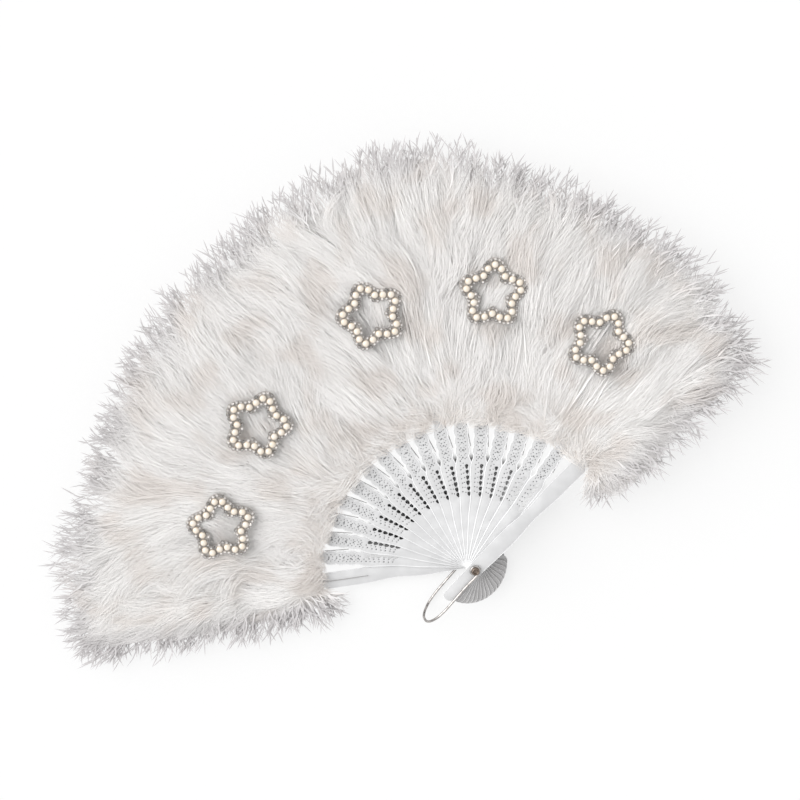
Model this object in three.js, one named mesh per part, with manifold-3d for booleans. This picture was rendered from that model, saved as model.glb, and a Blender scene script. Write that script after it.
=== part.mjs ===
// Folding feather fan: pierced plastic staves turn on one rivet between two guards, each stave
// carries its own downy plume, five pearl flowers lie on the down, and a wire loop hangs at the rivet.
// The fan lies open on its back: the rivet's axis is Z, the fan opens about +Y and its front is +Z.
// The origin is the middle of the rivet's back cap, on the surface that the fan lies on.
import * as THREE from "three";
import { mergeVertices } from "three/addons/utils/BufferGeometryUtils.js";
import Module from "manifold-3d";

const wasm = await Module();
wasm.setup();

// Driving dimensions, in millimetres and degrees

// The stack of staves
const INNER_STAVES = 16;
const STAVE_STEP = 8.1; // open angle between two inner staves
const GUARD_STEP = 9.9; // open angle between a guard and the stave beside it
const STAVE_THICK = 0.8;
const GUARD_THICK = 1.5;
const RUNNING_GAP = 0.3; // between pieces that turn on each other or seat in each other

// One inner stave, from its tail end to the tang under the plume
const STAVE_TAIL = 21.5; // reach behind the rivet, the back guard's too
const STAVE_TAIL_HALF = 3.4;
const STAVE_BELLY_HALF = 4.1;
const STAVE_BELLY_AT = 30;
const STAVE_NECK_HALF = 3.5;
const STAVE_NECK_AT = 46;
const STAVE_BLADE_HALF = 3.6;
const SCALLOP_COUNT = 3;
const SCALLOP_RISE = 0.8;
const SCALLOP_LENGTH = 7.2;
const SCALLOP_SLOPE = 2.4; // part of a scallop's length over which it rises, and falls again
const PIERCING_COUNT = 6; // drop-shaped holes in a row beside the right edge
const PIERCING_ASIDE = 1.9; // from the middle line to the row
const PIERCING_FIRST_AT = 46.5;
const PIERCING_PITCH = 3.5;
const PIERCING_HALF_WIDTH = 1.05;
const PIERCING_HALF_LENGTH = 1.4;
const EYELET_HALF = 0.75; // small hole in the middle of each scallop

// One guard
const FRONT_GUARD_TAIL = 25;
const GUARD_TAIL_HALF = 3.6;
const GUARD_BELLY_HALF = 5;
const GUARD_BELLY_AT = 29;
const GUARD_NECK_HALF = 3.75;
const GUARD_NECK_AT = 48;
const GUARD_BLADE_HALF = 4.9;

// What staves and guards share
const BLADE_AT = 68; // where the blade is straight, and an inner stave's scallops begin
const BLADE_SHOULDER = 4; // length over which the blade's end narrows to the tang
const TANG_HALF = 2;
const TANG_END = 131;

// Rivet and wire loop
const RIVET_RADIUS = 1.5;
const RIVET_HEAD_RADIUS = 2.7;
const RIVET_HEAD_HEIGHT = 1.5;
const RIVET_RIM_HEIGHT = 0.5; // upright part of the head
const RIVET_DOME_RADIUS = 2; // where the head's dome begins to flatten
const RIVET_DOME_HEIGHT = 1.2;
const CAP_THICK = 1.5;
const CAP_FLOOR = 0.6; // under the end of the shank
const WIRE_RADIUS = 0.8;
const LOOP_REACH = 45; // from the rivet's axis to the far bend
const LOOP_ASIDE = 3; // how far each leg stands off the loop's middle line
const LOOP_DIRECTION = 201.5; // from +X, as the loop lies
const LOOP_BENDS = [ // along the loop, off its middle line and down through the stack, each as a share
  [0.25, 0.9, 0], [0.5, 0.85, 0], [0.74, 0.7, 0], [0.89, 0.5, 0.11], [0.98, 0.2, 0.3], [1, -0.1, 0.5],
  [0.98, -0.4, 0.7], [0.89, -0.65, 0.89], [0.74, -0.85, 1], [0.5, -1, 1], [0.26, -0.95, 1],
];
const EYE_TURN = 280; // how far the wire goes round the rivet at each end

// Plumes
const PLUME_START = 91;
const BACK_PLUME_REACH = 256; // from the rivet's axis to the tips of the down on the back guard
const LEFT_PLUME_REACH = 245; // where the row of tips draws in on the left
const CREST_PLUME_REACH = 264; // past the middle, where the tips stand furthest out
const RIGHT_PLUME_REACH = 238;
const FRONT_PLUME_REACH = 222; // on the front guard
const PLUME_WALL = 1; // down around the stave where the plume begins
const PLUME_CROWN = 10; // height of the down over the stave
const PLUME_CROWN_PEAK = 0.45; // share of the plume's length where it stands highest
const PLUME_SETTLING = 1.3; // over 1, so that the underside lies flat along the middle
const PLUME_PARTING = 0.2; // from a plume's side to the line half way to its neighbour
const PLUME_FILL = 0.3; // under 1, so that a plume keeps its width almost to its ends
const PLUME_ROUND_ACROSS = 0.6; // under 1, so that a plume's section is fuller than an ellipse
const PLUME_ROUND_UP = 0.7;
const BACK_GUARD_SPREAD = 24; // how far a guard's plume fans out past its free edge
const FRONT_GUARD_SPREAD = 27;
const GUARD_SPREAD_PEAK = 0.5;
const PLUME_WIDTH_PEAK = 0.5;
const QUILL_RADIUS = 0.6;
const QUILL_ROOT = 12; // length of a quill inside its plume
const QUILL_END_AT = 76; // where a quill's bare end lies in the gap beside its stave
const GUARD_QUILL_END_AT = 64; // where the back guard's quill ends, on the guard's face

// Pearl flowers
// reach from the rivet, by the stave under each
const FLOWERS = { stave_02: 157, stave_05: 162, stave_09: 173, stave_12: 173, stave_15: 160 };
const FLOWER_RADIUS = 14.6;
const FLOWER_PETALS = 5;
const PETAL_DEPTH = 0.18; // share of the radius by which a petal swells and draws in
const FELT_HALF = 4.2;
const FELT_THICK = 0.5;
const PEARL_RADIUS = 2.2;
const PEARL_HEIGHT = 1.9;
const PEARL_COUNT = 19;
const PEARL_THREAD_RADIUS = 0.6;
const PEARL_FLAT = 0.4; // share of a pearl's pitch at its full size

// Facets
const ROUND_SIDES = 10;
const PIERCING_SIDES = 5;
const CURVE_STEPS = 3;
const PLUME_STATIONS = [0, 0.07, 0.22, 0.48, 0.76, 0.94, 1];
const PLUME_SIDES = 8;
const PETAL_STEPS = 5;
const PEARL_ARC_STEPS = 3;
const WIRE_SIDES = 6;
const WIRE_STEPS = 46;
const EYE_STEPS = 7;
const WELD = 1e-4; // points nearer than this are one

// Layers, worked out from the back cap upwards
const staveRise = STAVE_THICK + RUNNING_GAP;
const backEyeZ = CAP_THICK + RUNNING_GAP + WIRE_RADIUS;
const backGuardZ = backEyeZ + WIRE_RADIUS + RUNNING_GAP;
const firstStaveZ = backGuardZ + GUARD_THICK + RUNNING_GAP;
const frontGuardZ = firstStaveZ + INNER_STAVES * staveRise;
const frontEyeZ = frontGuardZ + GUARD_THICK + RUNNING_GAP + WIRE_RADIUS;
const headZ = frontEyeZ + WIRE_RADIUS + RUNNING_GAP;

// Reach of the plumes' tips, by their share of the way from the back guard to the front guard
const plumeTips = [
  [0, BACK_PLUME_REACH], [0.28, LEFT_PLUME_REACH], [0.55, CREST_PLUME_REACH],
  [0.65, CREST_PLUME_REACH], [0.82, RIGHT_PLUME_REACH], [1, FRONT_PLUME_REACH],
];

const lastStave = INNER_STAVES + 1;
const halfSpread = GUARD_STEP + (STAVE_STEP * (INNER_STAVES - 1)) / 2;
const bladeEnd = BLADE_AT + SCALLOP_COUNT * SCALLOP_LENGTH;
const pivotHoleRadius = RIVET_RADIUS + RUNNING_GAP;
const flowerReach = FLOWER_RADIUS * (1 + PETAL_DEPTH) + FELT_HALF;

const rad = THREE.MathUtils.degToRad;

const white = new THREE.MeshStandardMaterial({ color: 0xe8e8eb, roughness: 0.35, metalness: 0 });
const down = new THREE.MeshStandardMaterial({ color: 0xf0ebe6, roughness: 0.95, metalness: 0 });
const felt = new THREE.MeshStandardMaterial({ color: 0xe2dfdb, roughness: 0.9, metalness: 0 });
const pearl = new THREE.MeshStandardMaterial({ color: 0xefe4d2, roughness: 0.22, metalness: 0.1 });
const silver = new THREE.MeshStandardMaterial({ color: 0x9b958d, roughness: 0.3, metalness: 0.9 });

function solidOf(geometry) {
  const bare = geometry.clone();
  bare.deleteAttribute("normal");
  bare.deleteAttribute("uv");
  const merged = mergeVertices(bare, WELD);
  const mesh = new wasm.Mesh({
    numProp: 3,
    vertProperties: new Float32Array(merged.attributes.position.array),
    triVerts: new Uint32Array(merged.index.array),
  });
  return new wasm.Manifold(mesh);
}

function geometryOf(solid) {
  const mesh = solid.getMesh();
  const geometry = new THREE.BufferGeometry();
  geometry.setAttribute("position", new THREE.BufferAttribute(mesh.vertProperties, 3));
  geometry.setIndex(new THREE.BufferAttribute(mesh.triVerts, 1));
  geometry.computeVertexNormals();
  return geometry;
}

// Skin over a row of rings with equally many points, capped at both ends or closed on itself
function loft(rings, closed) {
  const size = rings[0].length;
  const faces = [];
  const spans = closed ? rings.length : rings.length - 1;
  for (let s = 0; s < spans; s++) {
    const here = s * size;
    const next = ((s + 1) % rings.length) * size;
    for (let i = 0; i < size; i++) {
      const j = (i + 1) % size;
      faces.push(here + i, here + j, next + j, here + i, next + j, next + i);
    }
  }
  if (!closed) {
    const last = (rings.length - 1) * size;
    for (let i = 1; i < size - 1; i++) {
      faces.push(0, i + 1, i);
      faces.push(last, last + i, last + i + 1);
    }
  }
  const geometry = new THREE.BufferGeometry();
  geometry.setFromPoints(rings.flat());
  geometry.setIndex(faces);
  geometry.computeVertexNormals();
  return geometry;
}

// A hole with a corner towards the rivet
function hole(x, y, halfWidth, halfLength, sides) {
  const points = [];
  for (let i = 0; i < sides; i++) {
    const turn = -Math.PI / 2 - (2 * Math.PI * i) / sides;
    points.push(new THREE.Vector2(x + halfWidth * Math.cos(turn), y + halfLength * Math.sin(turn)));
  }
  return new THREE.Path(points);
}

// A shape that is the same on both sides of its middle line, from the path of its right side
function mirroredShape(rightSide) {
  const right = rightSide.getPoints(CURVE_STEPS);
  const left = right.slice(1, -1).reverse().map((p) => new THREE.Vector2(-p.x, p.y));
  return new THREE.Shape([...right, ...left]);
}

// Smooth S from where the path is to a new half width
function easeTo(path, half, y) {
  const { x: fromHalf, y: fromY } = path.currentPoint;
  const middle = (fromY + y) / 2;
  path.bezierCurveTo(fromHalf, middle, half, middle, half, y);
}

// Rounded tail end, from the middle line to the right edge
function tailFrom(path, reach, half) {
  path.moveTo(0, -reach);
  path.quadraticCurveTo(half, -reach, half, half - reach);
}

function tangTo(path) {
  path.lineTo(path.currentPoint.x, bladeEnd);
  easeTo(path, TANG_HALF, bladeEnd + BLADE_SHOULDER);
  path.lineTo(TANG_HALF, TANG_END);
  path.lineTo(0, TANG_END);
}

function staveShape() {
  const side = new THREE.Path();
  tailFrom(side, STAVE_TAIL, STAVE_TAIL_HALF);
  easeTo(side, STAVE_BELLY_HALF, STAVE_BELLY_AT);
  easeTo(side, STAVE_NECK_HALF, STAVE_NECK_AT);
  easeTo(side, STAVE_BLADE_HALF, BLADE_AT);
  for (let i = 0; i < SCALLOP_COUNT; i++) {
    const start = BLADE_AT + i * SCALLOP_LENGTH;
    side.lineTo(STAVE_BLADE_HALF + SCALLOP_RISE, start + SCALLOP_SLOPE);
    side.lineTo(STAVE_BLADE_HALF + SCALLOP_RISE, start + SCALLOP_LENGTH - SCALLOP_SLOPE);
    side.lineTo(STAVE_BLADE_HALF, start + SCALLOP_LENGTH);
  }
  tangTo(side);
  const shape = mirroredShape(side);
  shape.holes.push(hole(0, 0, pivotHoleRadius, pivotHoleRadius, ROUND_SIDES));
  for (let i = 0; i < PIERCING_COUNT; i++) {
    const y = PIERCING_FIRST_AT + i * PIERCING_PITCH;
    shape.holes.push(hole(PIERCING_ASIDE, y, PIERCING_HALF_WIDTH, PIERCING_HALF_LENGTH, PIERCING_SIDES));
  }
  for (let i = 0; i < SCALLOP_COUNT; i++) {
    const y = BLADE_AT + (i + 0.5) * SCALLOP_LENGTH;
    shape.holes.push(hole(0, y, EYELET_HALF, EYELET_HALF, PIERCING_SIDES));
  }
  return shape;
}

function guardShape(tail) {
  const side = new THREE.Path();
  tailFrom(side, tail, GUARD_TAIL_HALF);
  easeTo(side, GUARD_BELLY_HALF, GUARD_BELLY_AT);
  easeTo(side, GUARD_NECK_HALF, GUARD_NECK_AT);
  easeTo(side, GUARD_BLADE_HALF, BLADE_AT);
  tangTo(side);
  const shape = mirroredShape(side);
  shape.holes.push(hole(0, 0, pivotHoleRadius, pivotHoleRadius, ROUND_SIDES));
  return shape;
}

function slab(shape, z, thick) {
  const settings = { depth: thick, bevelEnabled: false, curveSegments: CURVE_STEPS };
  return new THREE.ExtrudeGeometry(shape, settings).translate(0, 0, z);
}

// Each stave's place in the fan, from the back guard to the front guard
const staves = [];
for (let i = 0; i <= lastStave; i++) {
  const guard = i === 0 || i === lastStave;
  const turned = Math.min(i, 1) * GUARD_STEP + Math.max(0, Math.min(i, INNER_STAVES) - 1) * STAVE_STEP;
  const number = String(i).padStart(2, "0");
  let z = firstStaveZ + (i - 1) * staveRise;
  let name = `stave_${number}`;
  if (i === 0) {
    z = backGuardZ;
    name = "back_guard";
  }
  if (i === lastStave) {
    z = frontGuardZ;
    name = "front_guard";
  }
  staves.push({
    index: i,
    name,
    plumeName: guard ? `${name}_plume` : `plume_${number}`,
    guard,
    angle: i === lastStave ? -halfSpread : halfSpread - turned,
    z,
    thick: guard ? GUARD_THICK : STAVE_THICK,
    bladeHalf: guard ? GUARD_BLADE_HALF : STAVE_BLADE_HALF + SCALLOP_RISE,
  });
}

function plumeTip(stave) {
  const share = stave.index / lastStave;
  const next = plumeTips.findIndex(([at]) => at > 0 && at >= share);
  const [start, first] = plumeTips[next - 1];
  const [end, second] = plumeTips[next];
  return first + (second - first) * THREE.MathUtils.smoothstep(share, start, end);
}

// Rises from 0 to 1 at the peak's share of the length and falls back to 0 at the tip
function swell(share, peak) {
  const bend = Math.log(0.5) / Math.log(peak);
  return Math.sqrt(Math.max(0, Math.sin(Math.PI * share ** bend)));
}

// Angle half way to the neighbour, side being 1 for right and -1 for left, or undefined at a free edge
function halfStep(stave, side) {
  const neighbour = staves[stave.index + side];
  return neighbour ? Math.abs(rad(neighbour.angle - stave.angle)) / 2 : undefined;
}

// How far the down reaches to one side of its stave
function plumeHalf(stave, side, share, y) {
  const base = stave.bladeHalf + RUNNING_GAP + PLUME_WALL;
  const step = halfStep(stave, side);
  if (step === undefined) {
    const spread = side < 0 ? BACK_GUARD_SPREAD : FRONT_GUARD_SPREAD;
    return base + spread * swell(share, GUARD_SPREAD_PEAK);
  }
  const limit = y * Math.tan(step) - PLUME_PARTING;
  return Math.min(base, limit) + Math.max(0, limit - base) * swell(share, PLUME_WIDTH_PEAK) ** PLUME_FILL;
}

// Section of a plume, from -1 to 1 each way, with a flat top, upright sides and a flat underside
const corner = Math.PI / PLUME_SIDES;
const section = [];
for (let i = 0; i < PLUME_SIDES; i++) {
  const turn = -corner * (2 * i + 1);
  const across = Math.cos(turn) / Math.cos(corner);
  const up = Math.sin(turn) / Math.cos(corner);
  section.push([
    Math.sign(across) * Math.abs(across) ** PLUME_ROUND_ACROSS,
    Math.sign(up) * Math.abs(up) ** PLUME_ROUND_UP,
  ]);
}

// Height of the down where it stands highest, at a share of the way from its stave to its side
function crownHeight(stave, share) {
  const flat = Math.tan(corner) ** PLUME_ROUND_ACROSS;
  const side = Math.tan(corner) ** PLUME_ROUND_UP;
  const full = stave.thick / 2 + RUNNING_GAP + PLUME_WALL + PLUME_CROWN;
  const fallen = Math.max(0, share - flat) / (1 - flat);
  return stave.z + stave.thick / 2 + full * (1 - fallen * (1 - side));
}

function plumeBody(stave) {
  const tip = plumeTip(stave);
  const middle = stave.z + stave.thick / 2;
  const base = stave.thick / 2 + RUNNING_GAP + PLUME_WALL;
  const rings = PLUME_STATIONS.map((share) => {
    const y = PLUME_START + (tip - PLUME_START) * share;
    const crown = swell(share, PLUME_CROWN_PEAK);
    const above = base + PLUME_CROWN * crown;
    const below = base + (middle - base) * Math.min(1, PLUME_SETTLING * crown);
    return section.map(([across, up]) => new THREE.Vector3(
      across * plumeHalf(stave, Math.sign(across), share, y),
      y,
      middle + up * (up > 0 ? above : below),
    ));
  });
  return loft(rings, false);
}

// The room that the stave's end and tang take inside the plume
function tangPocket(stave) {
  const wide = stave.bladeHalf + RUNNING_GAP;
  const narrow = TANG_HALF + RUNNING_GAP;
  const shoulder = bladeEnd + BLADE_SHOULDER + RUNNING_GAP;
  const end = TANG_END + RUNNING_GAP;
  const start = PLUME_START - PLUME_WALL;
  const outline = [
    [-wide, start], [wide, start], [wide, shoulder], [narrow, shoulder],
    [narrow, end], [-narrow, end], [-narrow, shoulder], [-wide, shoulder],
  ];
  const shape = new THREE.Shape(outline.map(([x, y]) => new THREE.Vector2(x, y)));
  return slab(shape, stave.z - RUNNING_GAP, stave.thick + 2 * RUNNING_GAP);
}

function rod(from, to, radius) {
  const along = new THREE.Vector3().subVectors(to, from);
  const geometry = new THREE.CylinderGeometry(radius, radius, along.length(), WIRE_SIDES);
  const turn = new THREE.Quaternion().setFromUnitVectors(new THREE.Vector3(0, 1, 0), along.normalize());
  const middle = new THREE.Vector3().addVectors(from, to).multiplyScalar(0.5);
  return geometry.applyQuaternion(turn).translate(middle.x, middle.y, middle.z);
}

// A quill's bare end, behind the gap on the right of an inner stave or on the back guard's face
function quill(stave) {
  const rootY = PLUME_START + QUILL_ROOT;
  if (stave.index === 0) {
    const z = stave.z + stave.thick + RUNNING_GAP + QUILL_RADIUS;
    return rod(new THREE.Vector3(0, rootY, z), new THREE.Vector3(0, GUARD_QUILL_END_AT, z), QUILL_RADIUS);
  }
  const z = stave.z - RUNNING_GAP - QUILL_RADIUS;
  const endX = QUILL_END_AT * Math.tan(halfStep(stave, 1));
  const root = new THREE.Vector3(TANG_HALF, rootY, z);
  return rod(root, new THREE.Vector3(endX, QUILL_END_AT, z), QUILL_RADIUS);
}

function plumeGeometry(stave) {
  let solid = solidOf(plumeBody(stave)).subtract(solidOf(tangPocket(stave)));
  if (stave.index !== lastStave) {
    solid = solid.add(solidOf(quill(stave)));
  }
  return geometryOf(solid);
}

// Outline of a flower, also moved in or out all round
class FlowerCurve extends THREE.Curve {
  constructor(offset = 0) {
    super();
    this.offset = offset;
  }

  getPoint(t, target = new THREE.Vector2()) {
    const turn = Math.PI / 2 + 2 * Math.PI * t;
    const petal = Math.cos(FLOWER_PETALS * (turn - Math.PI / 2));
    const radius = FLOWER_RADIUS * (1 + PETAL_DEPTH * petal) + this.offset;
    return target.set(radius * Math.cos(turn), radius * Math.sin(turn));
  }
}

function feltGeometry() {
  const steps = FLOWER_PETALS * PETAL_STEPS;
  const shape = new THREE.Shape(new FlowerCurve(FELT_HALF).getPoints(steps).slice(0, -1));
  shape.holes.push(new THREE.Path(new FlowerCurve(-FELT_HALF).getPoints(steps).slice(0, -1).reverse()));
  return slab(shape, 0, FELT_THICK);
}

// Half-round pearls on one thread, as a tube whose radius swells at each pearl
function pearlStringGeometry() {
  const curve = new FlowerCurve();
  const stations = [0, (1 - PEARL_FLAT) / 2, (1 + PEARL_FLAT) / 2]; // the thread, then a pearl's full size
  const seat = FELT_THICK + RUNNING_GAP;
  const rings = [];
  for (let i = 0; i < PEARL_COUNT; i++) {
    for (const along of stations) {
      const share = (i + along) / PEARL_COUNT;
      const at = curve.getPointAt(share);
      const tangent = curve.getTangentAt(share);
      const half = along ? PEARL_RADIUS : PEARL_THREAD_RADIUS;
      const height = along ? PEARL_HEIGHT : PEARL_THREAD_RADIUS;
      const ring = [];
      for (let j = 0; j <= PEARL_ARC_STEPS; j++) {
        const turn = Math.PI * (1 - j / PEARL_ARC_STEPS);
        const out = half * Math.cos(turn);
        ring.push(new THREE.Vector3(
          at.x + tangent.y * out,
          at.y - tangent.x * out,
          seat + height * Math.sin(turn),
        ));
      }
      rings.push(ring);
    }
  }
  return loft(rings, true);
}

function latheAboutZ(profile) {
  const points = profile.map(([radius, z]) => new THREE.Vector2(radius, z));
  return new THREE.LatheGeometry(points, ROUND_SIDES).rotateX(Math.PI / 2);
}

// Domed head over the front loop eye, and the shank through the stack
function rivetGeometry() {
  return latheAboutZ([
    [0, CAP_FLOOR + RUNNING_GAP],
    [RIVET_RADIUS, CAP_FLOOR + RUNNING_GAP],
    [RIVET_RADIUS, headZ],
    [RIVET_HEAD_RADIUS, headZ],
    [RIVET_HEAD_RADIUS, headZ + RIVET_RIM_HEIGHT],
    [RIVET_DOME_RADIUS, headZ + RIVET_DOME_HEIGHT],
    [0, headZ + RIVET_HEAD_HEIGHT],
  ]);
}

// Cup on the shank's end, behind the back loop eye
function capGeometry() {
  return latheAboutZ([
    [0, 0],
    [RIVET_HEAD_RADIUS, 0],
    [RIVET_HEAD_RADIUS, CAP_THICK],
    [RIVET_RADIUS + RUNNING_GAP, CAP_THICK],
    [RIVET_RADIUS + RUNNING_GAP, CAP_FLOOR],
    [0, CAP_FLOOR],
  ]);
}

// One wire from an eye over the front guard, round the far bend, to an eye under the back guard.
// Here the loop lies along +X.
function loopGeometry() {
  const eyeRadius = pivotHoleRadius + WIRE_RADIUS;
  const eyeStep = rad(EYE_TURN / EYE_STEPS);
  const points = [];
  for (let i = EYE_STEPS; i >= 0; i--) {
    const turn = Math.PI / 2 + i * eyeStep;
    points.push(new THREE.Vector3(eyeRadius * Math.cos(turn), eyeRadius * Math.sin(turn), frontEyeZ));
  }
  const drop = (share) => frontEyeZ + (backEyeZ - frontEyeZ) * share;
  for (const [along, aside, down] of LOOP_BENDS) {
    points.push(new THREE.Vector3(LOOP_REACH * along, LOOP_ASIDE * aside, drop(down)));
  }
  for (let i = 0; i <= EYE_STEPS; i++) {
    const turn = -Math.PI / 2 - i * eyeStep;
    points.push(new THREE.Vector3(eyeRadius * Math.cos(turn), eyeRadius * Math.sin(turn), backEyeZ));
  }
  const section = [];
  for (let i = 0; i < WIRE_SIDES; i++) {
    const turn = (2 * Math.PI * i) / WIRE_SIDES;
    section.push(new THREE.Vector2(WIRE_RADIUS * Math.cos(turn), WIRE_RADIUS * Math.sin(turn)));
  }
  const path = new THREE.CatmullRomCurve3(points, false, "centripetal");
  return new THREE.ExtrudeGeometry(new THREE.Shape(section), { steps: WIRE_STEPS, extrudePath: path });
}

function piece(name, geometry, material) {
  const mesh = new THREE.Mesh(geometry, material);
  mesh.name = name;
  return mesh;
}

const fan = new THREE.Group();
fan.name = "feather_fan";
fan.add(piece("rivet", rivetGeometry(), silver));
fan.add(piece("rivet_cap", capGeometry(), silver));

const wristLoop = piece("wrist_loop", loopGeometry(), silver);
wristLoop.rotation.z = rad(LOOP_DIRECTION);
fan.add(wristLoop);

const staveOutline = staveShape();
const outlines = { back_guard: guardShape(STAVE_TAIL), front_guard: guardShape(FRONT_GUARD_TAIL) };
for (const stave of staves) {
  const arm = new THREE.Group();
  arm.rotation.z = rad(stave.angle);
  const outline = outlines[stave.name] ?? staveOutline;
  arm.add(piece(stave.name, slab(outline, stave.z, stave.thick), white));
  arm.add(piece(stave.plumeName, plumeGeometry(stave), down));
  fan.add(arm);
}

// A flower lies level on the down, on whatever stands highest under it
function flowerSeat(angle, at) {
  const reach = Math.atan(flowerReach / at);
  const heights = staves.map((stave) => {
    const clear = Math.max(0, Math.abs(rad(stave.angle - angle)) - reach);
    const share = clear / halfStep(stave, stave.angle > angle ? 1 : -1);
    return share < 1 ? crownHeight(stave, share) : 0;
  });
  return Math.max(...heights) + RUNNING_GAP;
}

Object.entries(FLOWERS).forEach(([host, at], i) => {
  const { angle } = staves.find(({ name }) => name === host);
  const flower = new THREE.Group();
  flower.rotation.z = rad(angle);
  flower.position.z = flowerSeat(angle, at);
  const backing = piece(`flower_felt_${i + 1}`, feltGeometry(), felt);
  backing.position.y = at;
  const pearls = piece(`flower_pearls_${i + 1}`, pearlStringGeometry(), pearl);
  pearls.position.y = at;
  flower.add(backing, pearls);
  fan.add(flower);
});

export default fan;
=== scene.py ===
"""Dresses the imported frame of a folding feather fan: staves, plumes, pearl flowers, rivet and loop."""

import math
from typing import NamedTuple

import bpy
from bpy.props import FloatProperty, FloatVectorProperty, IntProperty, PointerProperty
from mathutils import Matrix, Vector


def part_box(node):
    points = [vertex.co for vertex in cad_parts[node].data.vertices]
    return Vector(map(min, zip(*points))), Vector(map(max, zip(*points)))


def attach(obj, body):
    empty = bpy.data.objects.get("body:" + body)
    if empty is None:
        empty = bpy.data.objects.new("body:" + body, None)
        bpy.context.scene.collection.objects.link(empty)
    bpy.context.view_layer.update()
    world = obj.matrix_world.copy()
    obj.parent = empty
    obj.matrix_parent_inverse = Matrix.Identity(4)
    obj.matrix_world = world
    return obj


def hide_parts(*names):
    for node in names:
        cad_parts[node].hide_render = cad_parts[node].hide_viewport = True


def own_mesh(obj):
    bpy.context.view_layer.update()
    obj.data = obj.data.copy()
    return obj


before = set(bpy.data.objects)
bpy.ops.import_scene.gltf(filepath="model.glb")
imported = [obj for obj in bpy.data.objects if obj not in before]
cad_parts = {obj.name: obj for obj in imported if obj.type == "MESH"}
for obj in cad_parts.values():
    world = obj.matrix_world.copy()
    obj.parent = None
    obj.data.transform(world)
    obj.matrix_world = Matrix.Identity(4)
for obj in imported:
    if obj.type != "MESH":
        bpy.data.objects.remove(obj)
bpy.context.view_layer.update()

bl_info = {
    "name": "Feather Fan",
    "version": (1, 0, 0),
    "blender": (4, 5, 0),
    "location": "3D View > Sidebar > Feather Fan",
    "description": "Dresses the packed frame of a folding feather fan",
    "category": "Object",
}

INNER_STAVES = 16
LAST_STAVE = INNER_STAVES + 1
STAVE_STEP = math.radians(8.1)
GUARD_STEP = math.radians(9.9)
HALF_SPREAD = GUARD_STEP + STAVE_STEP * (INNER_STAVES - 1) / 2
FLOWERS = ((2, 0.157), (5, 0.162), (9, 0.173), (12, 0.173), (15, 0.160))  # stave under each, and reach
OPEN_SIDE = 9.0  # stands for a reach that nothing comes near


class Stave(NamedTuple):
    """One stave's place in the fan; angle is from +Y, positive to the left."""

    number: int
    body: str
    plume: str
    angle: float
    low: float
    high: float

    @property
    def guard(self):
        return self.number in (0, LAST_STAVE)


def stave_at(number):
    if number == 0:
        body, plume, angle = "back_guard", "back_guard_plume", HALF_SPREAD
    elif number == LAST_STAVE:
        body, plume, angle = "front_guard", "front_guard_plume", -HALF_SPREAD
    else:
        body, plume = f"stave_{number:02d}", f"plume_{number:02d}"
        angle = HALF_SPREAD - GUARD_STEP - (number - 1) * STAVE_STEP
    low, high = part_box(body)
    return Stave(number, body, plume, angle, low.z, high.z)


STAVES = [stave_at(number) for number in range(LAST_STAVE + 1)]


# Node trees


class Wire:
    """An output in a node tree. Arithmetic on it adds the nodes that work out the sum."""

    def __init__(self, net, socket):
        self.net = net
        self.socket = socket

    def __add__(self, other):
        return self.net.sum("ADD", self, other)

    def __radd__(self, other):
        return self.net.sum("ADD", other, self)

    def __sub__(self, other):
        return self.net.sum("SUBTRACT", self, other)

    def __rsub__(self, other):
        return self.net.sum("SUBTRACT", other, self)

    def __mul__(self, other):
        return self.net.sum("MULTIPLY", self, other)

    def __rmul__(self, other):
        return self.net.sum("MULTIPLY", other, self)

    def __truediv__(self, other):
        return self.net.sum("DIVIDE", self, other)

    def __rtruediv__(self, other):
        return self.net.sum("DIVIDE", other, self)

    def __pow__(self, other):
        return self.net.sum("POWER", self, other)

    def __mod__(self, other):
        return self.net.sum("MODULO", self, other)

    def __floordiv__(self, other):
        return self.net.math("FLOOR", self / other)

    def __gt__(self, other):
        return self.net.sum("GREATER_THAN", self, other)

    def __lt__(self, other):
        return self.net.sum("LESS_THAN", self, other)

    def __neg__(self):
        return self * -1


class Part:
    """A node that has been added, whose outputs are read by name."""

    def __init__(self, net, node):
        self.net = net
        self.node = node

    def __getitem__(self, name):
        for socket in self.node.outputs:
            if socket.enabled and socket.name == name:
                return Wire(self.net, socket)
        raise KeyError(f"{self.node.bl_idname} has no output named {name}")


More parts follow.
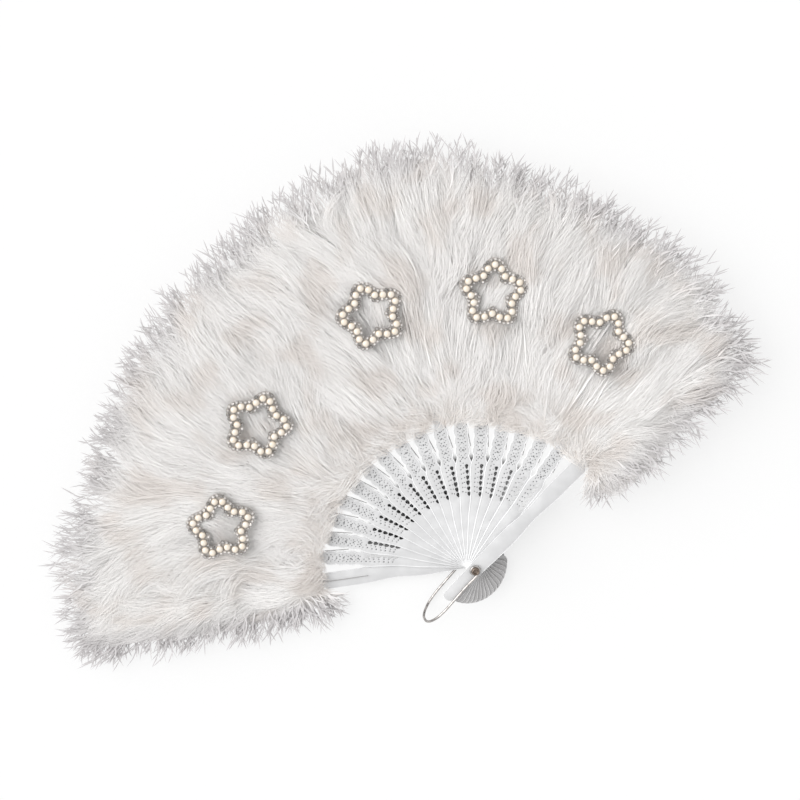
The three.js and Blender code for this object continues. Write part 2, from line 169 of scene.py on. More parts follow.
class Net:
    """A node tree under construction."""

    def __init__(self, tree):
        self.tree = tree

    def feed(self, socket, value):
        for item in value if isinstance(value, list) else [value]:
            if isinstance(item, Wire):
                self.tree.links.new(item.socket, socket)
            else:
                socket.default_value = item

    def add(self, kind, settings=None, sockets=None):
        """Adds a node: its settings first, then the values or wires of its sockets, by name or place."""
        node = self.tree.nodes.new(kind)
        for name, value in (settings or {}).items():
            setattr(node, name, value)
        for key, value in (sockets or {}).items():
            if isinstance(key, int):
                self.feed(node.inputs[key], value)
                continue
            found = [s for s in node.inputs if s.enabled and s.name == key]
            if not found:
                raise KeyError(f"{kind} has no input named {key}")
            self.feed(found[0], value)
        return Part(self, node)

    def grow(self, kind, settings=None, **sockets):
        """The first output of a new geometry node; _ stands for a space in a socket's name."""
        named = {name.replace("_", " "): value for name, value in sockets.items()}
        node = self.add(f"GeometryNode{kind}", settings, named).node
        return Wire(self, next(socket for socket in node.outputs if socket.enabled))

    def math(self, operation, *values):
        return self.add("ShaderNodeMath", {"operation": operation}, dict(enumerate(values)))["Value"]

    def sum(self, operation, left, right):
        vectors = [self.is_vector(left), self.is_vector(right)]
        if not any(vectors):
            return self.math(operation, left, right)
        sockets = {0: left, 1: right}
        if operation == "MULTIPLY" and not all(vectors):
            vector, scale = (left, right) if vectors[0] else (right, left)
            operation, sockets = "SCALE", {"Vector": vector, "Scale": scale}
        return self.add("ShaderNodeVectorMath", {"operation": operation}, sockets)["Vector"]

    @staticmethod
    def is_vector(value):
        if isinstance(value, Wire):
            return value.socket.type in ("VECTOR", "RGBA")
        return isinstance(value, (tuple, Vector))

    def vector(self, x, y, z):
        return self.add("ShaderNodeCombineXYZ", sockets={"X": x, "Y": y, "Z": z})["Vector"]

    def axes(self, vector):
        """The node that parts a vector into X, Y and Z."""
        return self.add("ShaderNodeSeparateXYZ", sockets={"Vector": vector})

    def length(self, vector):
        return self.add("ShaderNodeVectorMath", {"operation": "LENGTH"}, {"Vector": vector})["Value"]

    def turned(self, vector, angle):
        """A vector turned about Z."""
        sockets = {"Vector": vector, "Angle": angle}
        return self.add("ShaderNodeVectorRotate", {"rotation_type": "Z_AXIS"}, sockets)["Vector"]

    def smooth(self, value, low, high):
        """0 below low and 1 above high, with a smooth rise between them."""
        sockets = {"Value": value, "From Min": low, "From Max": high}
        return self.add("ShaderNodeMapRange", {"interpolation_type": "SMOOTHSTEP"}, sockets)["Result"]

    def mix(self, kind, factor, first, second):
        sockets = {"Factor": factor, "A": first, "B": second}
        return self.add("ShaderNodeMix", {"data_type": kind}, sockets)["Result"]

    def mixed(self, factor, first, second):
        vectors = self.is_vector(first) or self.is_vector(second)
        return self.mix("VECTOR" if vectors else "FLOAT", factor, first, second)

    def tinted(self, factor, first, second):
        return self.mix("RGBA", factor, first, second)

    def noise(self, place, size, detail=2):
        sockets = {"Vector": place, "Scale": 1 / size, "Detail": detail}
        return self.add("ShaderNodeTexNoise", {"noise_dimensions": "3D"}, sockets)

    def random(self, kind, **sockets):
        return self.add("FunctionNodeRandomValue", {"data_type": kind}, sockets)["Value"]

    def own_place(self):
        """The place of a shaded point in its own object."""
        return self.add("ShaderNodeTexCoord")["Object"]

    def attribute(self, name):
        return self.add("ShaderNodeAttribute", {"attribute_name": name})["Fac"]

    def stored(self, geometry, name, value, domain="POINT"):
        """Geometry that carries a named number for its finish to read."""
        settings_of = {"data_type": "FLOAT", "domain": domain}
        return self.grow("StoreNamedAttribute", settings_of, Geometry=geometry, Name=name, Value=value)

    def joined(self, parts):
        return self.grow("JoinGeometry", Geometry=parts)

    def put(self, geometry, place):
        """Geometry with its points at a place."""
        return self.grow("SetPosition", Geometry=geometry, Position=place)

    def coated(self, geometry, material):
        return self.grow("SetMaterial", Geometry=geometry, Material=material)


def new_tree(name, inputs):
    """An empty Geometry Nodes tree with these named inputs, and the node that gives them."""
    tree = bpy.data.node_groups.new(name, "GeometryNodeTree")
    tree.interface.new_socket("Geometry", in_out="OUTPUT", socket_type="NodeSocketGeometry")
    for label, kind in inputs.items():
        tree.interface.new_socket(label, in_out="INPUT", socket_type=f"NodeSocket{kind}")
    net = Net(tree)
    return net, net.add("NodeGroupInput")


def close_tree(net, geometry, material=None):
    """Ends a tree in Realize Instances and Set Material."""
    real = net.grow("RealizeInstances", Geometry=geometry)
    if material:
        real = net.coated(real, material)
    net.add("NodeGroupOutput", sockets={"Geometry": real})
    return net.tree


def linked(name, data):
    made = bpy.data.objects.new(name, data)
    bpy.context.scene.collection.objects.link(made)
    return made


def plain_mesh(holder):
    """Turns an object and its modifiers into a plain mesh object."""
    bpy.context.view_layer.update()
    evaluated = holder.evaluated_get(bpy.context.evaluated_depsgraph_get())
    mesh = bpy.data.meshes.new_from_object(evaluated)
    name = holder.name
    bpy.data.objects.remove(holder)
    mesh.name = name
    return linked(name, mesh)


def grown(name, tree, values, start=None, finish=None):
    """The plain mesh object that a tree grows from its inputs, and from a start if it has one."""
    holder = linked(name, start or bpy.data.meshes.new(name))
    modifier = holder.modifiers.new("Nodes", "NODES")
    modifier.node_group = tree
    for item in tree.interface.items_tree:
        if item.in_out == "INPUT" and item.name in values:
            modifier[item.identifier] = values[item.name]
    if finish:
        finish(holder)
    return plain_mesh(holder)


def softened(mesh, angle):
    """Smooth shading, with edges kept sharp above an angle."""
    mesh.shade_smooth()
    mesh.set_sharp_from_angle(angle=angle)


def stands_for(piece, body, slot, *nodes):
    """Puts a finished piece on its body, in the place of its CAD nodes."""
    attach(piece, body)
    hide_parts(*nodes)


# Finishes


def new_material(name):
    material = bpy.data.materials.new(name)
    material.use_nodes = True
    return material, Net(material.node_tree)


def finished(material, net, values):
    """The material, with the values of its shader's sockets."""
    shader = net.tree.nodes["Principled BSDF"]
    for name, value in values.items():
        net.feed(shader.inputs[name], value)
    return material


def dimmed(colour, share):
    return tuple(share * c for c in colour[:3]) + (1,)


def bumped(net, height, strength, distance):
    sockets = {"Strength": strength, "Distance": distance, "Height": height}
    return net.add("ShaderNodeBump", sockets=sockets)["Normal"]


# painted shade: the colour that the staves' tails darken to behind the rivet, where the stack shades
# them
PAINTED_TAIL_SHADE = (0.30, 0.285, 0.28, 1)
TAIL_SHADE_LENGTH = 0.012  # from the rivet towards the tails, over which the painted shade grows


def plastic_finish(name, colour, tail_shade=0.0):
    """Satin moulded plastic with a faint flow mottle, and painted shade darkening the tails behind the
    rivet.
    """
    material, net = new_material(name)
    place = net.own_place()
    mottle = net.noise(place, size=0.009)["Fac"]
    grain = net.noise(place, size=0.0008, detail=3)["Fac"]
    # painted shade: the plastic darkens towards the tails, on the -Y side of the rivet
    tail_shaded = net.smooth(net.axes(place)["Y"] * -1, 0.0, TAIL_SHADE_LENGTH) * tail_shade
    plain = net.tinted(net.smooth(mottle, 0.3, 0.75), dimmed(colour, 0.9), colour)
    return finished(material, net, {
        "Base Color": net.tinted(tail_shaded, plain, PAINTED_TAIL_SHADE),
        "Roughness": 0.27 + mottle * 0.16,
        "Normal": bumped(net, grain, 0.06, 0.0002),
    })


def down_finish(look):
    """Silky barbs, in painted shade at their roots and at the plume's base and in random patches, white
    along their length and grey at the fan's rim.
    """
    material, net = new_material("down")
    edge = net.attribute("edge")
    lit = net.tinted(net.smooth(net.attribute("tone"), 0.0, 0.55), tuple(look.shade), tuple(look.white))
    length = net.tinted(net.smooth(net.attribute("share"), 0.0, 0.5), tuple(look.depth), lit)
    return finished(material, net, {
        "Base Color": net.tinted(edge, length, tuple(look.rim)),
        "Roughness": 0.65 + edge * 0.2,
        "Specular IOR Level": 0.15,
    })


def quill_finish(colour):
    """Horn-like quill, paler and duller in patches."""
    material, net = new_material("quill")
    patches = net.noise(net.own_place(), size=0.004)["Fac"]
    return finished(material, net, {
        "Base Color": net.tinted(patches, dimmed(colour, 0.8), colour),
        "Roughness": 0.3 + patches * 0.25,
    })


def felt_finish(colour):
    """Matted fibres that take the light unevenly."""
    material, net = new_material("felt")
    fibre = net.noise(net.own_place(), size=0.0007, detail=4)["Fac"]
    return finished(material, net, {
        "Base Color": net.tinted(fibre, dimmed(colour, 0.7), colour),
        "Roughness": 0.8 + fibre * 0.15,
        "Normal": bumped(net, fibre, 0.5, 0.0004),
    })


def pearl_finish(colour):
    """Cream nacre with a clear coat, faint warm clouds and painted shade darkening its lower rim."""
    material, net = new_material("pearl")
    clouds = net.noise(net.own_place(), size=0.0022, detail=3)["Fac"]
    warm = (colour[0], colour[1] * 0.93, colour[2] * 0.84, 1)
    # painted shade: the lower part of each pearl darkens towards this colour
    rim = (colour[0] * 0.5, colour[1] * 0.43, colour[2] * 0.36, 1)
    nacre = net.tinted(net.smooth(clouds, 0.3, 0.7), warm, colour)
    return finished(material, net, {
        "Base Color": net.tinted(net.smooth(net.attribute("dome"), 0.0, 0.85), rim, nacre),
        "Roughness": 0.2 + clouds * 0.12,
        "Coat Weight": 0.6,
        "Coat Roughness": 0.06,
        "Sheen Weight": 0.1,
    })


def stone_finish(colour):
    """Foiled glass: each stone gets a random brightness, a painted glint."""
    material, net = new_material("rhinestone")
    spark = net.attribute("spark")
    return finished(material, net, {
        # painted glint: a random brightness for each stone
        "Base Color": net.tinted(spark, dimmed(colour, 0.28), colour),
        "Metallic": 0.85,
        "Roughness": 0.08 + spark * 0.12,
    })


def metal_finish(name, colour, roughness):
    """Plated metal, dulled in patches by handling."""
    material, net = new_material(name)
    wear = net.noise(net.own_place(), size=0.003, detail=4)["Fac"]
    return finished(material, net, {
        "Base Color": net.tinted(net.smooth(wear, 0.35, 0.6), dimmed(colour, 0.62), colour),
        "Metallic": 1.0,
        "Roughness": roughness + wear * 0.15,
    })


# Settings


def colour_of(name, description, *rgb):
    return FloatVectorProperty(
        name=name, description=description, subtype="COLOR", size=4, min=0, max=1, default=(*rgb, 1))


def length_of(name, description, default):
    return FloatProperty(name=name, description=description, unit="LENGTH", default=default)


def turn_of(name, description, degrees):
    return FloatProperty(
        name=name, description=description, unit="ROTATION", default=math.radians(degrees))


def number_of(name, description, default):
    return IntProperty(name=name, description=description, default=default)


class FanStaves(bpy.types.PropertyGroup):
    """Sizes and colour of the pierced staves and plain guards."""

    colour: colour_of("Plastic", "Colour of the moulded plastic", 0.70, 0.70, 0.705)
    # painted highlight: beads and rounded edges are a lighter copy of the plastic, so they read as lit
    # edges all round
    edge_highlight_colour: colour_of(
        "Edges", "Colour of the rounded edges, where the thin plastic lets light through",
        0.88, 0.88, 0.885)
    # painted shade: a dark disc sits in each small hole, where there is only the shadow under the stave
    dimple_shade: colour_of("Dimples", "Colour at the bottom of the small dimples", 0.30, 0.30, 0.305)
    rounding: length_of("Rounding", "Width of the rounded edges", 0.00022)
    bead: length_of("Bead", "Radius of the bead round a stave's edge", 0.00042)
    flank: length_of("Flank", "From the middle line to the columns of small holes", 0.0018)
    dot: length_of("Dot", "Radius of the small holes", 0.00042)


class FanPlumes(bpy.types.PropertyGroup):
    """Counts, sizes and colours of the down."""

    locks: number_of("Locks", "Locks of barbs in one plume", 310)
    lock_barbs: number_of("Barbs", "Barbs in one lock", 30)
    bed: number_of("Bed", "Broad locks under the barbs of one plume", 110)
    twigs: number_of("Twigs", "Forked twigs along a plume's rim", 78)
    reach: length_of("Reach", "Longest barbs", 0.062)
    width: length_of("Width", "Half the width of a barb", 0.00012)
    twig_width: length_of("Twig Width", "Half the width of a twig", 0.00034)
    quill_radius: length_of("Quill Radius", "Radius of a bare quill", 0.00033)
    swirl: turn_of("Swirl", "How far the locks wander from the plume's line", 70)
    white: colour_of("White", "Colour of the barbs in the light", 0.95, 0.936, 0.923)
    # painted shade in random patches, standing for the shade between tufts
    shade: colour_of("Shade", "Colour of the duller locks", 0.875, 0.836, 0.806)
    # painted shade: the colour at the barbs' roots and the plume's base, where the barbs shade each
    # other
    depth: colour_of("Depth", "Colour at the barbs' roots", 0.80, 0.745, 0.70)
    rim: colour_of("Rim", "Colour of the barbs at the fan's rim", 0.62, 0.60, 0.602)
    quill: colour_of("Quill", "Colour of the quills", 0.40, 0.39, 0.385)


class FanFlowers(bpy.types.PropertyGroup):
    """Sizes and colours of the pearl flowers."""

    radius: length_of("Radius", "Mean radius of the row of pearls", 0.0146)
    petal_depth: FloatProperty(
        name="Petal Depth", description="Share of the radius by which petals swell and draw in",
        default=0.18)
    pearls: number_of("Pearls", "Pearls in one flower", 22)
    pearl_radius: length_of("Pearl Radius", "Radius of a pearl", 0.0022)
    stone_gap: length_of("Stone Row", "From the row of pearls to the rows of stones", 0.0032)
    stone_radius: length_of("Stone Radius", "Radius of a rhinestone", 0.00115)
    pearl: colour_of("Pearl", "Colour of the pearls", 0.86, 0.80, 0.72)
    stone: colour_of("Stone", "Colour of the brightest rhinestones", 0.90, 0.87, 0.84)
    felt: colour_of("Felt", "Colour of the backing", 0.62, 0.58, 0.54)


class FanMetal(bpy.types.PropertyGroup):
    """Colours of the rivet and the wire loop."""

    silver: colour_of("Silver", "Colour of the wire loop", 0.48, 0.455, 0.44)
    bronze: colour_of("Bronze", "Colour of the rivet", 0.21, 0.168, 0.14)
    wire: length_of("Wire", "Radius of the loop's wire", 0.0008)


class FanStage(bpy.types.PropertyGroup):
    """The camera, the lamp, the sky and the floor."""

    lens: FloatProperty(name="Lens", description="Focal length", unit="CAMERA", default=85)
    distance: length_of("Distance", "From the camera to the fan", 1.13)
    target: FloatVectorProperty(
        name="Target", description="Point at the middle of the picture",
        subtype="TRANSLATION", unit="LENGTH", default=(0.0053, 0.1164, 0.020))
    tilt: turn_of("Tilt", "How far the view leans from straight down", 15)
    lean: turn_of("Lean", "Side from which the fan is seen, from +X", 92)
    upright: turn_of("Upright", "Direction that points up in the picture, from +X", 64.35)
    key: FloatProperty(name="Key", description="Strength of the main lamp", default=2.5)
    sky: FloatProperty(name="Sky", description="Strength of the light from all round", default=0.65)


def settings():
    return bpy.context.scene.feather_fan


# Staves


STAVE_TAIL = 0.0228
BACK_GUARD_TAIL = 0.0215
FRONT_GUARD_TAIL = 0.025
STAVE_TAIL_HALF = 0.0034
GUARD_TAIL_HALF = 0.0036
STAVE_WAISTS = ((0.0041, 0.030), (0.0036, 0.046), (0.0046, 0.064), (0.0031, 0.071))  # half width, place
GUARD_WAISTS = ((0.005, 0.029), (0.00375, 0.048), (0.0049, 0.068))
GUARD_BLADE_END = 0.0896
TANG_START = 0.0936
TANG_END = 0.131
TANG_HALF = 0.002
LACE_RISE = 0.00025
BEAD_SIDES = 8
RIVET_HOLE = 0.0018
DIMPLE_FLOOR = 0.0001  # height of the dark floor of painted shade in each small hole, over the stave's back
SHARP_EDGE = math.radians(40)


def eased(start, end, steps=10):
    """Half widths on a smooth S between two (half width, place) pairs, without its first point."""
    points = []
    for step in range(1, steps + 1):
        share = step / steps
        blend = share * share * (3 - 2 * share)
        half = start[0] + (end[0] - start[0]) * blend
        points.append((half, start[1] + (end[1] - start[1]) * share))
    return points


def rounded_tail(reach, half, steps=10):
    """Half widths round a tail end, from the middle line to the edge."""
    points = []
    for step in range(steps + 1):
        share = step / steps
        points.append((half * (2 * share - share * share), -reach + half * share * share))
    return points


def scallops(half, start, count, length, rise, steps=24):
    """Half widths along a row of scallops, each edged with a row of small bumps."""
    points = []
    for step in range(1, count * steps + 1):
        share = step / steps
        bump = abs(math.sin(math.pi * share)) ** 0.7
        lace = abs(math.sin(4 * math.pi * share))
        points.append((half + rise * bump + LACE_RISE * lace, start + length * share))
    return points


def waisted(tail, half, waists):
    side = rounded_tail(tail, half)
    for waist in waists:
        side += eased(side[-1], waist)
    return side


def with_tang(side):
    side += eased(side[-1], (TANG_HALF, TANG_START), 5)
    side.append((TANG_HALF, TANG_END))
    side.append((0.0, TANG_END))
    return side


def stave_outline():
    side = waisted(STAVE_TAIL, STAVE_TAIL_HALF, STAVE_WAISTS)
    side += scallops(half=0.0029, start=STAVE_WAISTS[-1][1], count=3, length=0.0062, rise=0.0009)
    return with_tang(side)


def guard_outline(tail):
    side = waisted(tail, GUARD_TAIL_HALF, GUARD_WAISTS)
    side.append((side[-1][0], GUARD_BLADE_END))
    return with_tang(side)


def outline_curve(name, side):
    """A closed flat curve from the half widths of its right side."""
    points = side + [(-x, y) for x, y in reversed(side[1:-1])]
    curve = bpy.data.curves.new(name, "CURVE")
    curve.dimensions = "3D"
    spline = curve.splines.new("POLY")
    spline.points.add(len(points) - 1)
    for point, (x, y) in zip(spline.points, points):
        point.co = (x, y, 0, 1)
    spline.use_cyclic_u = True
    return curve


def row_of_holes(net, given, count, first, step, shape, stray, sizes):
    """Copies of a hole's outline in a row, each a little off its place and of its own size."""
    line = net.grow("MeshLine", Count=count, Start_Location=first, Offset=step)
    seed = given["Number"] * 7 + first[1] * 1e5 + first[0] * 1e4
    off = net.random("FLOAT_VECTOR", Min=(-stray, -stray, 0), Max=(stray, stray, 0), Seed=seed)
    line = net.grow("SetPosition", Geometry=line, Offset=off)
    low, high = sizes
    size = net.random("FLOAT_VECTOR", Min=(low, low, 1), Max=(high, high, 1), Seed=seed + 1)
    return net.grow("InstanceOnPoints", Points=line, Instance=shape, Scale=size)


def round_hole(net, radius, sides):
    return net.grow("CurvePrimitiveCircle", Resolution=sides, Radius=radius)


def drop_hole(net, half_width, half_length):
    """A drop with its point towards the rivet."""
    circle = round_hole(net, 1.0, 14)
    axes = net.axes(net.grow("InputPosition"))
    narrow = 0.72 + axes["Y"] * 0.28
    return net.put(circle, net.vector(axes["X"] * narrow * half_width, axes["Y"] * half_length, 0))


def edge_bead(net, outline, radius, thickness):
    """A thin bead along the outside of an outline, proud of the face."""
    curve = net.grow("SetCurveNormal", {"mode": "Z_UP"}, Curve=outline)
    outward = net.grow("InputNormal") * (radius * 0.85)
    offset = outward + net.vector(0, 0, thickness - radius * 0.6)
    curve = net.grow("SetPosition", Geometry=curve, Offset=offset)
    return net.grow("CurveToMesh", Curve=curve, Profile_Curve=round_hole(net, radius, BEAD_SIDES))


def filled(net, outlines):
    """Flat faces inside closed outlines, with the outlines within them left open."""
    flat = net.grow("RealizeInstances", Geometry=net.joined(outlines))
    return net.grow("FillCurve", {"mode": "TRIANGLES"}, Curve=flat)


def plate(net, outlines, thickness):
    """A closed plate of a thickness, inside closed outlines."""
    face = filled(net, outlines)
    raised = net.grow(
        "ExtrudeMesh", {"mode": "FACES"}, Mesh=face, Offset=net.vector(0, 0, thickness),
        Offset_Scale=1.0, Individual=False)
    both = net.joined([raised, net.grow("FlipFaces", Mesh=face)])
    return net.grow("MergeByDistance", Geometry=both, Distance=1e-6)


def moved(net, geometry, height):
    return net.grow("Transform", Geometry=geometry, Translation=(0, 0, height))


def stave_tree(look, plastic, edge, dimple_shade=None):
    """A flat outline edged with a bead of lighter plastic, a painted highlight, and given its thickness;
    with dimples it is also pierced, and each small hole gets a dark floor of painted shade.
    """
    inputs = {"Geometry": "Geometry", "Thickness": "Float", "Number": "Int"}
    net, given = new_tree("Pierced stave" if dimple_shade else "Guard", inputs)
    outlines = [given["Geometry"], round_hole(net, RIVET_HOLE, 24)]
    parts = []
    if dimple_shade:
        drop = drop_hole(net, half_width=0.00138, half_length=0.0015)
        dot = round_hole(net, look.dot, 8)
        first, step = (0.0016, 0.0465, 0), (0, 0.0035, 0)
        outlines.append(row_of_holes(net, given, 6, first, step, drop, 0.0001, (0.9, 1.12)))
        rows = [  # count, place across, first place along, pitch, stray and sizes
            (8, -look.flank * 1.06, 0.0483, 0.0028, 0.0002, (0.7, 1.3)),
            (7, -0.00035, 0.0478, 0.0031, 0.0002, (0.7, 1.2)),
            (5, 0, 0.0700, 0.0045, 0.0003, (1.1, 1.6)),
        ]
        for across in (-look.flank, look.flank):
            rows.append((9, across * 1.1, 0.0700, 0.0024, 0.00025, (0.6, 1.1)))
            rows.append((9, across * 0.55, 0.0690, 0.0024, 0.00025, (0.6, 1.1)))
        dots = []
        for count, across, start, pitch, stray, sizes in rows:
            place, step = (across, start, 0), (0, pitch, 0)
            dots.append(row_of_holes(net, given, count, place, step, dot, stray, sizes))
        outlines += dots
        # dark discs inside the small holes: painted shade
        parts.append(net.coated(moved(net, filled(net, dots), DIMPLE_FLOOR), dimple_shade))
    body = plate(net, outlines, given["Thickness"])
    bead = edge_bead(net, given["Geometry"], look.bead * (1 if dimple_shade else 0.5), given["Thickness"])
    return close_tree(net, net.joined([net.coated(body, plastic), net.coated(bead, edge), *parts]))


class FAN_OT_staves(bpy.types.Operator):
    """Make the pierced staves and the two plain guards"""

    bl_idname = "feather_fan.staves"
    bl_label = "Staves and Guards"

    def execute(self, context):
        look = settings().staves
        # 0.5: how far the painted shade darkens the stave tails
        plastic = plastic_finish("stave plastic", look.colour, 0.5)
        # painted highlight: the lighter plastic of the beads and rounded edges
        edge = plastic_finish("stave edge plastic", look.edge_highlight_colour, 0.5)
        # painted shade: the dark plastic of the discs in the small holes
        dimple_shade = plastic_finish("stave dimple plastic", look.dimple_shade)
        guard_plastic = plastic_finish("guard plastic", look.colour)
        guard_edge = plastic_finish("guard edge plastic", look.edge_highlight_colour)
        pierced = stave_tree(look, plastic, edge, dimple_shade)
        plain = stave_tree(look, guard_plastic, guard_edge)
        tails = {"back_guard": BACK_GUARD_TAIL, "front_guard": FRONT_GUARD_TAIL}

        def rounded(holder):
            bevel = holder.modifiers.new("Rounding", "BEVEL")
            bevel.width = look.rounding
            bevel.segments = 2
            bevel.limit_method = "ANGLE"
            bevel.angle_limit = math.radians(60)
            # the rounded edges of the holes and outline take the lighter edge plastic: painted highlight
            bevel.material = 1

        for stave in STAVES:
            name = f"moulded_{stave.body}"
            side = guard_outline(tails[stave.body]) if stave.guard else stave_outline()
            values = {"Thickness": stave.high - stave.low, "Number": stave.number}
            tree = plain if stave.guard else pierced
            piece = grown(name, tree, values, outline_curve(name, side), rounded)
            turn = Matrix.Rotation(stave.angle, 4, "Z")
            piece.data.transform(Matrix.Translation((0, 0, stave.low)) @ turn)
            softened(piece.data, SHARP_EDGE)
            stands_for(piece, stave.body, "stave_plastic", stave.body)
        return {"FINISHED"}


# Plumes


PLUME_INPUTS = {
    **dict.fromkeys(("Number", "Locks", "Bed Locks", "Twigs", "Shafts"), "Int"),
    **dict.fromkeys(("Angle", "Height", "Tip", "Left", "Right", "Left Lean", "Right Lean"), "Float"),
    **dict.fromkeys(("Left Reach", "Right Reach", "Sweep", "Twig Sides"), "Float"),
    **dict.fromkeys(("Quill Start", "Quill End"), "Vector"),
}
PLUME_START = 0.091
ROOT_START = 0.0935
BASE_END = 0.108  # where the short loose barbs at a plume's base stop
PLUME_CROWN = 0.0135
PLUME_COVER = 0.0014  # height of a plume's top over its stave's middle, without its crown
PLUME_BED = 0.002  # height of a plume's underside where it lies on the floor
LOWEST_BARB = 0.0006
SIDE_SOFTNESS = 0.018  # how gently a guard's down stops at its side
PLUME_ROUND = 0.008  # how much shorter a plume is at its sides than in its middle
PLUME_RIDGE = 0.3  # share of its crown that a plume loses at its sides
LUMP_SIZE = 0.03
FLOW_SIZE = 0.05  # distance over which the barbs' flow changes
CURL_SIZE = 0.02
CURL_REACH = 0.007
CLOUD_SIZE = 0.024  # of the random patches of painted shade in the down, which also make the rim's grey start unevenly
RIM_RAGGED = 0.03  # how unevenly the grey of the rim starts
RIM_BAND = (0.032, 0.004)  # distances inside the tip over which it grows
BASE_SHADE_BAND = (0.09, 0.14)  # reaches over which the painted shade at the base of the down ends
FLOWER_PRESS = 0.0185  # radius of the down that lies flat under a flower
FLOWER_FADE = 0.016  # from there to where the down is free again
FREE_RISE = 0.02  # height over a flower's felt that the free down may have
CROWN_CROWDING = 0.22  # under 1, so that the locks crowd at a plume's crown
UNDERSIDE = 0.25  # share of a plume's height that the barbs of its underside fill
PLUME_SEEDS = 20000  # random numbers set aside for each plume


class BarbKind(NamedTuple):
    """What sets one kind of barb apart from another."""

    first_seed: int
    locks: str
    per_lock: int
    points: int
    short: float
    long: float
    width: float
    loose: tuple
    turn: float
    rise: tuple
    depth: tuple
    inset: float
    taper: float
    grey: tuple
    limit: float
    below: float = 0.0
    fuzz: float = 0.0
    flow: float = 6.0


